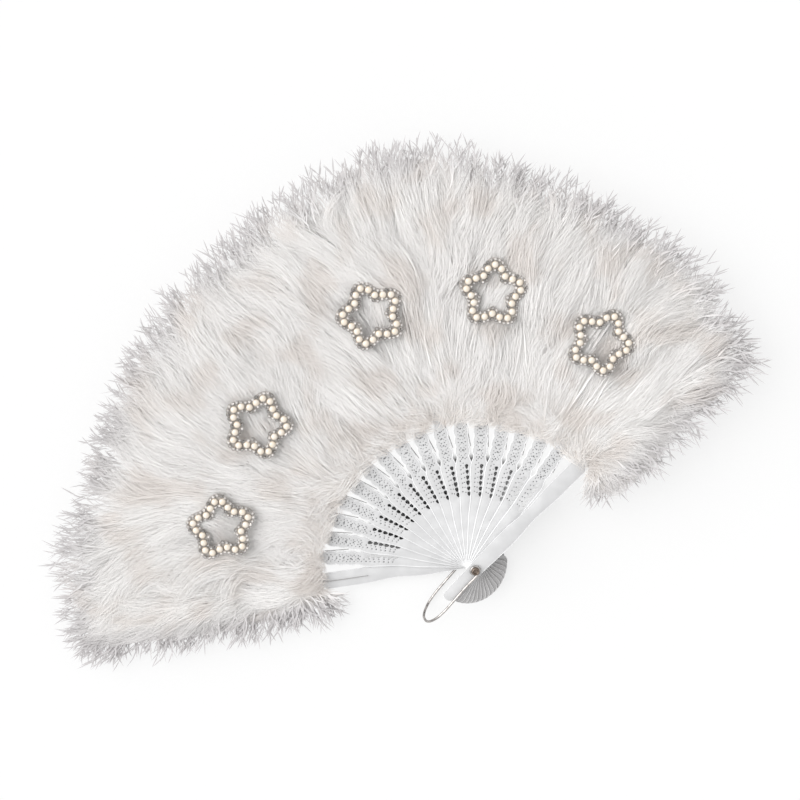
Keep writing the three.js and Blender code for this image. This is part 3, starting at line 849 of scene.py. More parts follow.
class BarbField:
    """Works out where the points of one kind of barb lie in a plume."""

    def __init__(self, net, given, kind, look):
        self.net = net
        self.given = given
        self.kind = kind
        self.look = look
        self.seed = kind.first_seed
        index = net.grow("InputIndex")
        self.barb = index // kind.points
        lock = self.barb // kind.per_lock
        self.share = (index % kind.points) / (kind.points - 1)
        offset = given["Number"] * PLUME_SEEDS
        self.barb_id = self.barb + offset
        self.lock_id = lock + offset

    def chance(self, owner, low, high):
        self.seed += 1
        return self.net.random("FLOAT", Min=low, Max=high, ID=owner, Seed=self.seed)

    def by_lock(self, low, high):
        """A random number that the barbs of a lock share."""
        return self.chance(self.lock_id, low, high)

    def by_barb(self, low, high):
        return self.chance(self.barb_id, low, high)

    def heading(self, angle):
        return self.net.vector(self.net.math("SINE", angle), self.net.math("COSINE", angle), 0)

    def arc(self, heading, bend, run):
        """The way along a barb one unit long that bends about its heading."""
        start = self.heading(heading - bend * 0.5) * (run * (1 - run))
        return start + self.heading(heading + bend * 0.5) * (run * run)

    def swell(self, along):
        wave = self.net.math("SINE", along ** 0.87 * math.pi)
        return self.net.math("MAXIMUM", wave, 0.0) ** 0.5

    def along(self, reach):
        """Share of the way from the plume's start to its tip."""
        share = (reach - PLUME_START) / (self.given["Tip"] - PLUME_START)
        return self.net.add("ShaderNodeClamp", sockets={"Value": share})["Result"]

    def to_fan(self, place):
        return self.net.turned(place, self.given["Angle"])

    def level(self, flat, along, side, depth):
        """Height between the plume's underside, at depth 0, and its lumpy crown, at depth 1."""
        net, height = self.net, self.given["Height"]
        swell = self.swell(along)
        lumps = net.noise(self.to_fan(flat), LUMP_SIZE, 1)["Fac"]
        ridge = 1 - side * side * PLUME_RIDGE
        top = height + PLUME_COVER + swell * ridge * PLUME_CROWN * (lumps * 2 - 0.4)
        settled = net.math("MINIMUM", swell * 1.3, 1.0)
        bottom = height - settled * (height - PLUME_BED)
        return bottom + (top - bottom) * depth

    def sides(self, side, left, right):
        """The left value where side is negative, and the right value elsewhere."""
        return self.net.mixed(side > 0, self.given[left], self.given[right])

    def roots(self, length):
        """Root, heading and length of the locks all over a plume."""
        net, given = self.net, self.given
        side = self.by_lock(-1, 1)
        outer = given["Tip"] - side * side * PLUME_ROUND - length - self.kind.inset
        spread = self.by_lock(0, 1) ** 1.3
        reach = (ROOT_START ** 2 + (outer * outer - ROOT_START ** 2) * spread) ** 0.5
        offset = side * self.sides(side, "Left", "Right")
        depth = self.by_lock(*self.kind.depth) ** CROWN_CROWDING
        below = self.by_lock(0, 1) < self.kind.below
        depth = net.mixed(below, depth, self.by_lock(0, UNDERSIDE))
        along = self.along(reach)
        flat = self.heading(offset) * reach
        root = flat + net.vector(0, 0, self.level(flat, along, side, depth))
        wander = net.noise(self.to_fan(root), FLOW_SIZE, 1)["Fac"] - 0.5
        outermost = self.sides(side, "Left Reach", "Right Reach") < 1
        flare = 1 + outermost * (1 - net.smooth(along, 0, 0.35)) * 2
        lean = side * self.sides(side, "Left Lean", "Right Lean") * flare
        own_turn = self.chance(given["Number"], -0.16, 0.16)
        heading = offset + lean + own_turn * along + given["Sweep"] * (0.35 + along * 0.65)
        base = (1 - net.smooth(reach, ROOT_START, BASE_END)) * (1 - outermost) * self.kind.fuzz
        heading = heading + wander * 2 * self.look.swirl + self.by_lock(-1.5, 1.5) * base
        return root, heading, length * (1 - base * 0.65) * (1 - outermost * side * side * 0.5)

    def rim_roots(self, length):
        """Root and heading of the twigs round a plume's rim."""
        net, given = self.net, self.given
        side = self.by_lock(-1, 1)
        offset = side * self.sides(side, "Left", "Right") * 1.1
        inset = self.by_lock(0, self.kind.inset)
        tip_reach = given["Tip"] - side * side * PLUME_ROUND - inset - length * 0.9
        lean = side * self.sides(side, "Left Lean", "Right Lean")
        tip_root = self.heading(offset) * tip_reach
        tip_heading = offset + given["Sweep"] + lean
        down_side = net.mixed(given["Right Reach"] < given["Left Reach"], -1.0, 1.0)
        out = self.by_lock(0, 1) ** 1.5
        reach = net.mixed(out, PLUME_START + 0.003, given["Tip"] * 0.93)
        outward = net.math("MINIMUM", given["Left Reach"], given["Right Reach"])
        across = 0.3 + net.smooth(out, 0, 0.3) * 0.1 + net.smooth(out, 0.5, 0.8) * 0.05
        across = across * outward * self.by_lock(0.4, 1.4)
        side_root = net.vector(across * down_side, reach, 0)
        back_turn = 1 - net.smooth(out, 0, 0.16)
        side_heading = down_side * (1.5 - out * 0.5 + back_turn + self.by_lock(-0.25, 0.25))
        at_side = self.by_lock(0, 1) < given["Twig Sides"]
        flat = net.mixed(at_side, tip_root, side_root)
        depth = self.by_lock(*self.kind.depth)
        along = net.mixed(at_side, self.along(tip_reach), self.along(reach))
        level = self.level(flat, along, side, depth)
        return flat + net.vector(0, 0, level), net.mixed(at_side, tip_heading, side_heading)

    def locks(self):
        """Locks of barbs all over the plume, in a flow that neighbours share."""
        net, kind = self.net, self.kind
        length = self.by_lock(kind.short, kind.long)
        root, heading, length = self.roots(length)
        heading = heading + self.by_lock(-kind.turn, kind.turn) + self.by_barb(-0.1, 0.1)
        flow = net.noise(self.to_fan(root) + (0, 0, 1), FLOW_SIZE, 1)["Fac"] - 0.5
        bend = flow * kind.flow + self.by_lock(-0.25, 0.25)
        run = self.share * self.by_barb(0.62, 1.04)
        rise = self.by_lock(*kind.rise)
        drop = rise * self.by_lock(0.75, 1.25)
        lift = net.vector(0, 0, rise * run - drop * run * run)
        own = net.vector(*(self.by_barb(-size, size) for size in kind.loose))
        place = root + self.arc(heading, bend, run) * length + lift + own * (1 - run * 0.45)
        curl = net.noise(self.to_fan(place), CURL_SIZE, 2)["Color"] - (0.5, 0.5, 0.5)
        return self.ribbons(place + curl * (run * CURL_REACH), run)

    def twigs(self):
        """Forked barbs round the rim: the first of a group is its stem, and the rest branch from it."""
        net, kind = self.net, self.kind
        length = self.by_lock(kind.short, kind.long)
        root, heading = self.rim_roots(length)
        heading = heading + self.by_lock(-kind.turn, kind.turn)
        bend = self.by_lock(-0.8, 0.8)
        member = self.barb % kind.per_lock
        branch = member > 0.5
        fork = branch * self.by_barb(0.15, 0.8)
        stem_run = fork + self.share * (1 - branch)
        branch_run = branch * self.share * self.by_barb(0.3, 0.55)
        sway = (member % 2 - 0.5) * self.by_barb(0.4, 1.1)
        turned = self.heading(heading + bend * (stem_run - 0.5) + sway)
        reach = self.arc(heading, bend, stem_run) + turned * branch_run
        lift = net.vector(0, 0, self.by_lock(*kind.rise) * (stem_run + branch_run))
        return self.ribbons(root + reach * length + lift, stem_run)

    def pressed(self, flat, height):
        """Heights kept under the flowers that lie on the down."""
        net, spot = self.net, self.to_fan(flat)
        for number, (host, distance) in enumerate(FLOWERS, 1):
            low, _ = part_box(f"flower_felt_{number}")
            angle = STAVES[host].angle
            middle = (-distance * math.sin(angle), distance * math.cos(angle), 0)
            away = net.smooth(net.length(spot - middle), FLOWER_PRESS, FLOWER_PRESS + FLOWER_FADE)
            height = net.math("MINIMUM", height, low.z + away * FREE_RISE)
        return height

    def ribbons(self, place, run):
        """The barbs as ribbons, with what their finish reads."""
        net, kind, given = self.net, self.kind, self.given
        axes = net.axes(place)
        across = net.math("SMOOTH_MIN", axes["X"], given["Right Reach"] * kind.limit, SIDE_SOFTNESS)
        across = -net.math("SMOOTH_MIN", -across, given["Left Reach"] * kind.limit, SIDE_SOFTNESS)
        flat = net.vector(across, axes["Y"], 0)
        height = self.pressed(flat, axes["Z"])
        place = net.vector(across, axes["Y"], net.math("MAXIMUM", height, LOWEST_BARB))
        count = given[kind.locks] * (kind.per_lock * kind.points)
        points = net.grow("Points", Count=count, Position=self.to_fan(place))
        reach = net.length(flat)
        tip = given["Tip"]
        clouds = net.noise(self.to_fan(flat), CLOUD_SIZE, 2)["Fac"]
        rim = net.smooth(reach + (clouds - 0.5) * RIM_RAGGED, *(tip - inset for inset in RIM_BAND))
        beside = net.math("MAXIMUM", across / given["Right Reach"], -across / given["Left Reach"])
        edge = net.math("MAXIMUM", rim, net.smooth(beside, 0.2, 0.65))
        # painted shade at the plume's base, and at each barb's root below
        inner = 0.4 + net.smooth(reach, *BASE_SHADE_BAND) * 0.6
        root_taper = net.math("MINIMUM", self.share * 4 + 0.12, 1.0)
        tip_taper = 1.04 - self.share ** kind.taper
        shown = {
            "share": net.math("MINIMUM", run * 1.4 + 0.36, 1.0) * inner,
            # tone: random patches of painted shade, between the shade and white colours
            "tone": self.by_lock(0, 0.1) + net.smooth(clouds, 0.35, 0.65) * 0.85,
            "edge": net.mixed(edge, *kind.grey),
            "girth": kind.width * root_taper * tip_taper * self.by_barb(0.75, 1.25),
            "roll": self.by_barb(-0.25, 0.25),
        }
        for name, value in shown.items():
            points = net.stored(points, name, value)
        curves = net.grow("PointsToCurves", Points=points, Curve_Group_ID=self.barb)
        curves = net.grow("SetCurveNormal", {"mode": "Z_UP"}, Curve=curves)
        named = {"data_type": "FLOAT"}
        roll = net.grow("InputNamedAttribute", named, Name="roll")
        girth = net.grow("InputNamedAttribute", named, Name="girth")
        curves = net.grow("SetCurveTilt", Curve=curves, Tilt=roll)
        profile = net.grow("CurvePrimitiveLine", Start=(-1, 0, 0), End=(1, 0, 0))
        mesh = net.grow("CurveToMesh", Curve=curves, Profile_Curve=profile, Scale=girth)
        return net.grow("SetShadeSmooth", Geometry=mesh)


def quill_rod(net, place, start, end, radius):
    """A tapering quill between two points of the plume."""
    line = net.grow("CurvePrimitiveLine", Start=start, End=end)
    line = net.grow("ResampleCurve", Curve=line, Count=8)
    taper = 0.6 + net.grow("SplineParameter") * 0.4
    profile = round_hole(net, radius, 8)
    rod = net.grow("CurveToMesh", Curve=line, Profile_Curve=profile, Scale=taper, Fill_Caps=True)
    rod = net.grow("SetShadeSmooth", Geometry=rod)
    return net.put(rod, place(net.grow("InputPosition")))


def plume_tree(look, down, quill):
    """One stave's plume: locks of barbs over its whole length, twigs round its rim, and its quill."""
    net, given = new_tree("Plume", PLUME_INPUTS)
    lock_kind = BarbKind(
        first_seed=0, locks="Locks", per_lock=look.lock_barbs, points=5,
        short=look.reach * 0.45, long=look.reach, width=look.width,
        loose=(0.005, 0.006, 0.0008), turn=0.1, rise=(0.001, 0.007), depth=(0, 1),
        inset=0.003, taper=2.2, grey=(0, 0.48), limit=0.78, below=0.2, fuzz=1.0)
    bed_kind = BarbKind(
        first_seed=50, locks="Bed Locks", per_lock=4, points=8,
        short=look.reach * 0.55, long=look.reach * 0.9, width=0.0012,
        loose=(0.004, 0.004, 0.001), turn=0.15, rise=(0.001, 0.004), depth=(0, 0.12),
        inset=0.012, taper=2.2, grey=(0, 0.3), limit=0.7, below=0.5)
    shaft_kind = BarbKind(
        first_seed=150, locks="Shafts", per_lock=1, points=10,
        short=0.04, long=0.07, width=0.0004,
        loose=(0, 0, 0), turn=0.1, rise=(0.008, 0.014), depth=(1, 1),
        inset=0.06, taper=3, grey=(0, 0), limit=0.7, flow=1.0)
    twig_kind = BarbKind(
        first_seed=100, locks="Twigs", per_lock=4, points=5,
        short=0.011, long=0.023, width=look.twig_width,
        loose=(), turn=0.22, rise=(-0.003, 0.004), depth=(0.55, 1.05),
        inset=0.017, taper=4, grey=(0.25, 1), limit=1.7)
    bed, locks, shafts, twigs = (
        BarbField(net, given, kind, look) for kind in (bed_kind, lock_kind, shaft_kind, twig_kind))
    barbs = net.joined([bed.locks(), locks.locks(), shafts.locks(), twigs.twigs()])
    rod = quill_rod(net, locks.to_fan, given["Quill Start"], given["Quill End"], look.quill_radius)
    return close_tree(net, net.joined([net.coated(barbs, down), net.coated(rod, quill)]))


PLUME_TIPS = (  # stave's number, and its plume's reach from the rivet's axis
    (0, 0.256), (1, 0.259), (2, 0.249), (4, 0.250), (6, 0.257), (7, 0.255), (8, 0.262),
    (10, 0.268), (11, 0.267), (12, 0.255), (14, 0.242), (16, 0.237), (17, 0.224),
)
QUILL_SHOWS = 0.076  # where a quill comes out between two staves
QUILL_SIDE = QUILL_SHOWS * math.tan(STAVE_STEP / 2)
INNER_QUILL = ((QUILL_SIDE, QUILL_SHOWS, -0.0009), (TANG_HALF, 0.108, -0.0009))  # from the stave's back
BACK_QUILL = ((0, 0.064, 0.0009), (0, 0.108, 0.0012))  # from the guard's face, as the next
FRONT_QUILL = ((0, 0.104, 0.001), (0, 0.15, 0.003))
GUARD_FULLNESS = 1.4  # a guard's locks, as a share of an inner stave's
GUARD_TWIGS = 5  # a guard's twigs, as a share of an inner stave's
SIDE_TWIGS = 0.72  # share of a guard's twigs that stand along its open side
RIM_SWEEP = math.radians(14)  # how far the outermost plumes bend away from the fan's middle


class PlumeSide(NamedTuple):
    """One side of a plume: the angle it fills, its barbs' lean, and how far they may stray."""

    fill: float
    lean: float
    reach: float


INNER_SIDE = PlumeSide(STAVE_STEP * 0.62, math.radians(12), OPEN_SIDE)
BACK_SIDE = PlumeSide(math.radians(4.5), math.radians(15), 0.025)
FRONT_SIDE = PlumeSide(math.radians(6.5), math.radians(24), 0.040)


def tip_at(number):
    """Distance from the rivet's axis to a plume's tip, by its stave's number."""
    for (start, first), (end, second) in zip(PLUME_TIPS, PLUME_TIPS[1:]):
        if number <= end:
            blend = (number - start) / (end - start)
            return first + (second - first) * blend * blend * (3 - 2 * blend)
    raise ValueError(f"{number} is past the last plume")


def quill_ends(stave):
    """Where a plume's quill shows: on a guard's face, or between two staves."""
    ends = {0: BACK_QUILL, LAST_STAVE: FRONT_QUILL}.get(stave.number, INNER_QUILL)
    level = stave.high if stave.guard else stave.low
    return [(across, along, level + rise) for across, along, rise in ends]


def plume_values(look, stave):
    """The inputs of one plume's tree."""
    fan_share = stave.angle / HALF_SPREAD
    left = BACK_SIDE if stave.number == 0 else INNER_SIDE
    right = FRONT_SIDE if stave.number == LAST_STAVE else INNER_SIDE
    fullness = GUARD_FULLNESS if stave.guard else 1
    start, end = quill_ends(stave)
    return {
        "Number": stave.number,
        "Angle": stave.angle,
        "Height": (stave.low + stave.high) / 2,
        "Tip": tip_at(stave.number),
        "Left": left.fill,
        "Right": right.fill,
        "Left Lean": left.lean,
        "Right Lean": right.lean,
        "Left Reach": left.reach,
        "Right Reach": right.reach,
        "Sweep": -math.copysign(abs(fan_share) ** 2 * RIM_SWEEP, fan_share),
        "Twig Sides": SIDE_TWIGS if stave.guard else 0.0,
        "Locks": round(look.locks * fullness),
        "Bed Locks": round(look.bed * fullness),
        "Twigs": look.twigs * (GUARD_TWIGS if stave.guard else 1),
        "Shafts": 2 if fan_share < 0 and not stave.guard else 0,
        "Quill Start": start,
        "Quill End": end,
    }


class FAN_OT_plumes(bpy.types.Operator):
    """Make each stave's plume of down"""

    bl_idname = "feather_fan.plumes"
    bl_label = "Plumes"

    def execute(self, context):
        look = settings().plumes
        tree = plume_tree(look, down_finish(look), quill_finish(look.quill))
        for stave in STAVES:
            piece = grown(f"down_{stave.body}", tree, plume_values(look, stave))
            stands_for(piece, stave.body, "down", stave.plume)
            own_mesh(piece)
        return {"FINISHED"}


# Flowers


FLOWER_INPUTS = {"Angle": "Float", "Distance": "Float", "Height": "Float"}
PETALS = 5
FELT_HALF = 0.0042
FELT_THICK = 0.0005
PEARL_SEAT = 0.0008
PEARL_BACK = 0.0004  # how far below its middle a pearl is cut flat
PEARL_FLATNESS = 0.73
OUTER_STONES = 50
INNER_STONES = 34
STONE_SIDES = 8
STONE_SEAT = 0.0006
CLAW_DEPTH = 0.0007
FULL_TURN = 6.283


def flower_curve(net, look, offset, steps=120):
    """The outline of a flower, moved in or out all round."""
    circle = round_hole(net, 1.0, steps)
    turn = net.grow("InputIndex") * (2 * math.pi / steps) + math.pi / 2
    petal = net.math("COSINE", (turn - math.pi / 2) * PETALS)
    radius = look.radius * (1 + petal * look.petal_depth) + offset
    return net.put(
        circle, net.vector(net.math("COSINE", turn) * radius, net.math("SINE", turn) * radius, 0))


def row_on(net, curve, count, shape):
    """Copies of a shape along a curve, each with its own random turn and painted glint share."""
    points = net.grow("CurveToPoints", {"mode": "COUNT"}, Curve=curve, Count=count)
    turn = net.vector(0, 0, net.random("FLOAT", Min=0.0, Max=FULL_TURN, Seed=3))
    row = net.grow("InstanceOnPoints", Points=points, Instance=shape, Rotation=turn)
    return net.stored(row, "spark", net.random("FLOAT", Seed=7) ** 0.8, "INSTANCE")


def flower_place(net, given, geometry):
    """Moves a flower from the middle to its place in the fan."""
    lifted = net.grow("InputPosition") + net.vector(0, given["Distance"], given["Height"])
    real = net.grow("RealizeInstances", Geometry=geometry)
    return net.put(real, net.turned(lifted, given["Angle"]))


def pearl_tree(look, pearl):
    """Flat-backed pearls in a row along the flower's outline."""
    net, given = new_tree("Flower pearls", FLOWER_INPUTS)
    ball = net.grow("MeshUVSphere", Segments=18, Rings=12, Radius=look.pearl_radius)
    axes = net.axes(net.grow("InputPosition"))
    height = net.math("MAXIMUM", axes["Z"] + PEARL_BACK, 0.0) * PEARL_FLATNESS
    # dome: height in the pearl, which its finish reads for painted shade
    ball = net.stored(ball, "dome", axes["Z"] / look.pearl_radius)
    ball = net.put(ball, net.vector(axes["X"], axes["Y"], height))
    ball = net.grow("SetShadeSmooth", Geometry=ball)
    row = row_on(net, flower_curve(net, look, 0.0), look.pearls, ball)
    return close_tree(net, flower_place(net, given, moved(net, row, PEARL_SEAT)), pearl)


def cone(net, bottom, top, depth):
    return net.grow("MeshCone", Vertices=STONE_SIDES, Radius_Top=top, Radius_Bottom=bottom, Depth=depth)


def backing_tree(look, felt, stone, claw):
    """The felt under a flower and the two rows of rhinestones that edge its pearls."""
    net, given = new_tree("Flower backing", FLOWER_INPUTS)
    pad = plate(net, [flower_curve(net, look, half) for half in (FELT_HALF, -FELT_HALF)], FELT_THICK)
    radius = look.stone_radius
    cut = cone(net, radius, radius * 0.52, radius * 0.75)
    cup = cone(net, radius * 0.9, radius * 1.12, CLAW_DEPTH)
    jewel = net.joined([
        net.coated(moved(net, cut, FELT_THICK + STONE_SEAT), stone),
        net.coated(moved(net, cup, FELT_THICK), claw),
    ])
    outer = row_on(net, flower_curve(net, look, look.stone_gap), OUTER_STONES, jewel)
    inner = row_on(net, flower_curve(net, look, -look.stone_gap), INNER_STONES, jewel)
    whole = net.joined([net.coated(pad, felt), outer, inner])
    return close_tree(net, flower_place(net, given, whole))


class FAN_OT_flowers(bpy.types.Operator):
    """Make the five pearl flowers that lie on the down"""

    bl_idname = "feather_fan.flowers"
    bl_label = "Pearl Flowers"

    def execute(self, context):
        look = settings().flowers
        claw = metal_finish("claw", settings().metal.silver, 0.22)
        pearls = pearl_tree(look, pearl_finish(look.pearl))
        backing = backing_tree(look, felt_finish(look.felt), stone_finish(look.stone), claw)
        for number, (host, distance) in enumerate(FLOWERS, 1):
            felt_node, pearl_node = f"flower_felt_{number}", f"flower_pearls_{number}"
            body = STAVES[host].body
            low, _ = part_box(felt_node)
            values = {"Angle": STAVES[host].angle, "Distance": distance, "Height": low.z}
            stands_for(grown(f"flower_backing_{number}", backing, values), body, "felt", felt_node)
            stands_for(grown(f"flower_row_{number}", pearls, values), body, "pearl", pearl_node)
        return {"FINISHED"}


# Rivet and loop


RIVET_SHANK = 0.0015
HEAD_HEIGHT = 0.0015
CAP_GAP = 0.0003  # between the shank and the cap round it
CAP_FLOOR = 0.0006


def turned_mesh(name, profile, steps=48):
    """A closed solid of revolution about Z, from (radius, height) pairs between two poles."""
    vertices, faces, rings = [], [], []
    for radius, height in profile:
        ring = []
        for step in range(steps if radius else 1):
            turn = 2 * math.pi * step / steps
            ring.append(len(vertices))
            vertices.append((radius * math.cos(turn), radius * math.sin(turn), height))
        rings.append(ring)
    for lower, upper in zip(rings, rings[1:]):
        for step in range(steps):
            corners = []
            for ring, spot in ((lower, step), (lower, step + 1), (upper, step + 1), (upper, step)):
                corner = ring[spot % len(ring)]
                if corner not in corners:
                    corners.append(corner)
            faces.append(corners)
    mesh = bpy.data.meshes.new(name)
    mesh.from_pydata(vertices, [], faces)
    return mesh


def rounded_rim(inner, outer, low, high, steps=12):
    """The rounded rim of the rivet's head, from its outer foot over the top to near its inner edge."""
    middle, half = (inner + outer) / 2, (outer - inner) / 2
    points = []
    for step in range(steps + 1):
        turn = math.pi * step / steps
        points.append((middle + half * math.cos(turn), low + (high - low) * math.sin(turn) ** 0.8))
    return points[:-2]


class FAN_OT_rivet(bpy.types.Operator):
    """Make the rivet and its back cap"""

    bl_idname = "feather_fan.rivet"
    bl_label = "Rivet"

    def execute(self, context):
        bronze = metal_finish("rivet bronze", settings().metal.bronze, 0.24)
        low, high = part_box("rivet")
        radius, head = high.x, high.z - HEAD_HEIGHT
        shape = [(0.0, low.z), (RIVET_SHANK, low.z), (RIVET_SHANK, head)]
        shape += rounded_rim(radius * 0.42, radius, head, high.z)
        shape += [(radius * 0.3, head + 0.0007), (0.0, head + 0.0006)]
        bore, rim = RIVET_SHANK + CAP_GAP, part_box("rivet_cap")[1].z
        cap_shape = [
            (0.0, 0.0), (radius - 0.0004, 0.0), (radius - 0.0001, 0.0001), (radius, 0.0004),
            (radius, rim - 0.0003), (radius - 0.0003, rim), (bore, rim), (bore, CAP_FLOOR),
            (0.0, CAP_FLOOR)]
        turned = (("domed_rivet", shape, "rivet"), ("rivet_cup", cap_shape, "rivet_cap"))
        for name, profile, node in turned:
            piece = linked(name, turned_mesh(name, profile))
            piece.data.materials.append(bronze)
            softened(piece.data, SHARP_EDGE)
            stands_for(piece, "back_guard", "silver", node)
        return {"FINISHED"}


LOOP_REACH = 0.045
LOOP_ASIDE = 0.0025
LOOP_DIRECTION = math.radians(204)
LOOP_EYE = 0.0018  # radius inside the eyes at the rivet
LOOP_BENDS = (  # shares of the reach, of the way aside and of the way from front to back
    (0.25, 0.9, 0), (0.5, 0.85, 0), (0.74, 0.7, 0), (0.89, 0.5, 0.11), (0.98, 0.2, 0.3), (1, -0.1, 0.5),
    (0.98, -0.4, 0.7), (0.89, -0.65, 0.89), (0.74, -0.85, 1), (0.5, -1, 1), (0.26, -0.95, 1),
)


def loop_route(wire):
    """Points of the wire from the eye over the front guard round to the eye under the back guard."""
    low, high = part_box("wrist_loop")
    back, front = low.z + wire, high.z - wire
    eye = LOOP_EYE + wire
    eye_turns = [math.radians(40 * step) for step in range(8)]
    route = []
    for turn in reversed(eye_turns):
        turn += math.pi / 2
        route.append(Vector((eye * math.cos(turn), eye * math.sin(turn), front)))
    for along, aside, down in LOOP_BENDS:
        route.append(Vector((LOOP_REACH * along, LOOP_ASIDE * aside, front + (back - front) * down)))
    for turn in eye_turns:
        turn = -math.pi / 2 - turn
        route.append(Vector((eye * math.cos(turn), eye * math.sin(turn), back)))
    return route


class FAN_OT_loop(bpy.types.Operator):
    """Make the wire loop that hangs at the rivet"""

    bl_idname = "feather_fan.loop"
    bl_label = "Wire Loop"

    def execute(self, context):
        look = settings().metal
        curve = bpy.data.curves.new("wire_loop", "CURVE")
        curve.dimensions = "3D"
        curve.bevel_depth = look.wire
        curve.bevel_resolution = 4
        curve.use_fill_caps = True
        curve.resolution_u = 8
        spline = curve.splines.new("BEZIER")
        route = loop_route(look.wire)
        spline.bezier_points.add(len(route) - 1)
        for point, place in zip(spline.bezier_points, route):
            point.co = place
            point.handle_left_type = point.handle_right_type = "AUTO"
        piece = plain_mesh(linked("wire_loop", curve))
        piece.data.transform(Matrix.Rotation(LOOP_DIRECTION, 4, "Z"))
        piece.data.materials.clear()
        piece.data.materials.append(metal_finish("loop silver", look.silver, 0.2))
        softened(piece.data, math.radians(50))
        stands_for(piece, "wrist_loop", "silver", "wrist_loop")
        return {"FINISHED"}


# Stage


FLOOR_HALF = 3.0
KEY_FROM = (-0.8, 0.9, 1.0)
KEY_ANGLE = math.radians(60)
WELL_RIM = (0.063, 0.069)  # distances from the rivet where the painted shade under the staves fades out
WELL_SIDES = (math.radians(64), math.radians(50))  # angles from the fan's middle where the painted shade fades out
PAINTED_WELL_SHADE = (0.05, 0.05, 0.05, 1)
PAPER_TONES = ((0.87, 0.87, 0.87, 1), (0.89, 0.89, 0.89, 1))
SHADE_REACH = 0.05  # how near the fan has to be for the painted shade on the paper, and for the painted light between the staves


def seen_rays(net):
    """1 for rays that the camera, gloss or glass sends out."""
    path = net.add("ShaderNodeLightPath")
    seen = path["Is Camera Ray"] + path["Is Glossy Ray"] + path["Is Transmission Ray"]
    return net.math("MINIMUM", seen, 1.0)


def floor_finish():
    """Pale paper that shows white and keeps the fan's shadow, with painted shade near black in a well
    under the middle staves and painted light lifting the shade between the outer staves.
    """
    material, net = new_material("floor paper")
    net.tree.nodes.remove(net.tree.nodes["Principled BSDF"])
    place = net.own_place()
    grain = net.noise(place, size=0.004)["Fac"]
    colour = net.tinted(grain, *PAPER_TONES)
    clear = net.add("ShaderNodeAmbientOcclusion", {"samples": 3}, {"Distance": SHADE_REACH})["AO"]
    reach = net.length(place)
    beyond_well = net.smooth(reach, *WELL_RIM)
    forward = net.axes(place)["Y"] / reach
    beside_well = 1 - net.smooth(forward, *(math.cos(angle) for angle in WELL_SIDES))
    unpainted_share = net.math("MAXIMUM", beyond_well, beside_well)
    unpainted_share = net.math("MAXIMUM", unpainted_share, net.smooth(clear, 0.32, 0.6))
    # painted shade: the paper goes near black in a well under the middle staves
    colour = net.tinted(unpainted_share, PAINTED_WELL_SHADE, colour)
    paper = net.add("ShaderNodeBsdfDiffuse", sockets={"Color": colour})["BSDF"]
    # painted light: beyond the well, the shade on the paper between the staves is lifted towards white
    painted_light_between_staves = beyond_well * (1 - net.smooth(clear, 0.3, 0.5))
    glow = unpainted_share * seen_rays(net) * (0.70 + painted_light_between_staves * 0.28)
    lit = net.add("ShaderNodeEmission")["Emission"]
    surface = net.add("ShaderNodeMixShader", sockets={0: glow, 1: paper, 2: lit})["Shader"]
    net.feed(net.tree.nodes["Material Output"].inputs["Surface"], surface)
    return material


def place_camera(look):
    side = Vector((math.cos(look.lean), math.sin(look.lean), 0))
    back = side * math.sin(look.tilt) + Vector((0, 0, math.cos(look.tilt)))
    upright = Vector((math.cos(look.upright), math.sin(look.upright), 0))
    right = upright.cross(back).normalized()
    up = back.cross(right)
    camera = bpy.data.cameras.new("camera")
    camera.lens = look.lens
    viewer = linked("camera", camera)
    turn = Matrix((right, up, back)).transposed().to_4x4()
    viewer.matrix_world = Matrix.Translation(Vector(look.target) + back * look.distance) @ turn
    return viewer


def sky_world(sky):
    """Even light from all round, seen as white."""
    world = bpy.data.worlds.new("studio")
    world.use_nodes = True
    net = Net(world.node_tree)
    lit = net.tree.nodes["Background"]
    net.feed(lit.inputs["Color"], (1, 1, 1, 1))
    net.feed(lit.inputs["Strength"], sky + seen_rays(net) * (1 - sky))
    return world


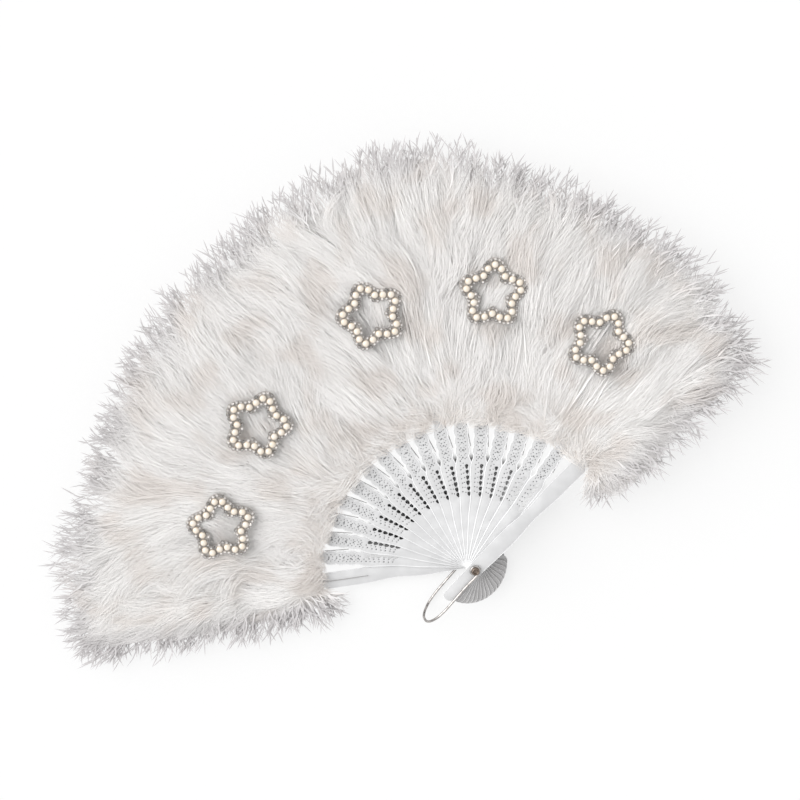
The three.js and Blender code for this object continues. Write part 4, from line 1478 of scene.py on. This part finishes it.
class FAN_OT_stage(bpy.types.Operator):
    """Make the camera, the lamp, the sky and the floor"""

    bl_idname = "feather_fan.stage"
    bl_label = "Stage"

    def execute(self, context):
        look = settings().stage
        scene = context.scene
        scene.view_settings.view_transform = "Standard"
        scene.camera = place_camera(look)
        lamp = bpy.data.lights.new("key", "SUN")
        lamp.energy = look.key
        lamp.angle = KEY_ANGLE
        key = linked("key", lamp)
        key.rotation_euler = Vector(KEY_FROM).to_track_quat("Z", "Y").to_euler()
        scene.world = sky_world(look.sky)
        corners = [(FLOOR_HALF * x, FLOOR_HALF * y, 0) for x, y in ((-1, -1), (1, -1), (1, 1), (-1, 1))]
        mesh = bpy.data.meshes.new("floor")
        mesh.from_pydata(corners, [], [(0, 1, 2, 3)])
        mesh.materials.append(floor_finish())
        linked("floor", mesh)
        return {"FINISHED"}


class FeatherFan(bpy.types.PropertyGroup):
    """All the settings of the fan."""

    staves: PointerProperty(type=FanStaves)
    plumes: PointerProperty(type=FanPlumes)
    flowers: PointerProperty(type=FanFlowers)
    metal: PointerProperty(type=FanMetal)
    stage: PointerProperty(type=FanStage)


STEPS = (FAN_OT_stage, FAN_OT_staves, FAN_OT_plumes, FAN_OT_flowers, FAN_OT_rivet, FAN_OT_loop)


class FAN_PT_panel(bpy.types.Panel):
    """Lists the steps that dress the fan"""

    bl_label = "Feather Fan"
    bl_idname = "FAN_PT_panel"
    bl_space_type = "VIEW_3D"
    bl_region_type = "UI"
    bl_category = "Feather Fan"

    def draw(self, context):
        for step in STEPS:
            self.layout.operator(step.bl_idname)


CLASSES = (FanStaves, FanPlumes, FanFlowers, FanMetal, FanStage, FeatherFan, *STEPS, FAN_PT_panel)


def register():
    for each in CLASSES:
        bpy.utils.register_class(each)
    bpy.types.Scene.feather_fan = PointerProperty(type=FeatherFan)


def unregister():
    del bpy.types.Scene.feather_fan
    for each in reversed(CLASSES):
        bpy.utils.unregister_class(each)


def main():
    register()
    bpy.ops.feather_fan.stage()
    bpy.ops.feather_fan.staves()
    bpy.ops.feather_fan.plumes()
    bpy.ops.feather_fan.flowers()
    bpy.ops.feather_fan.rivet()
    bpy.ops.feather_fan.loop()


if __name__ == "__main__":
    main()
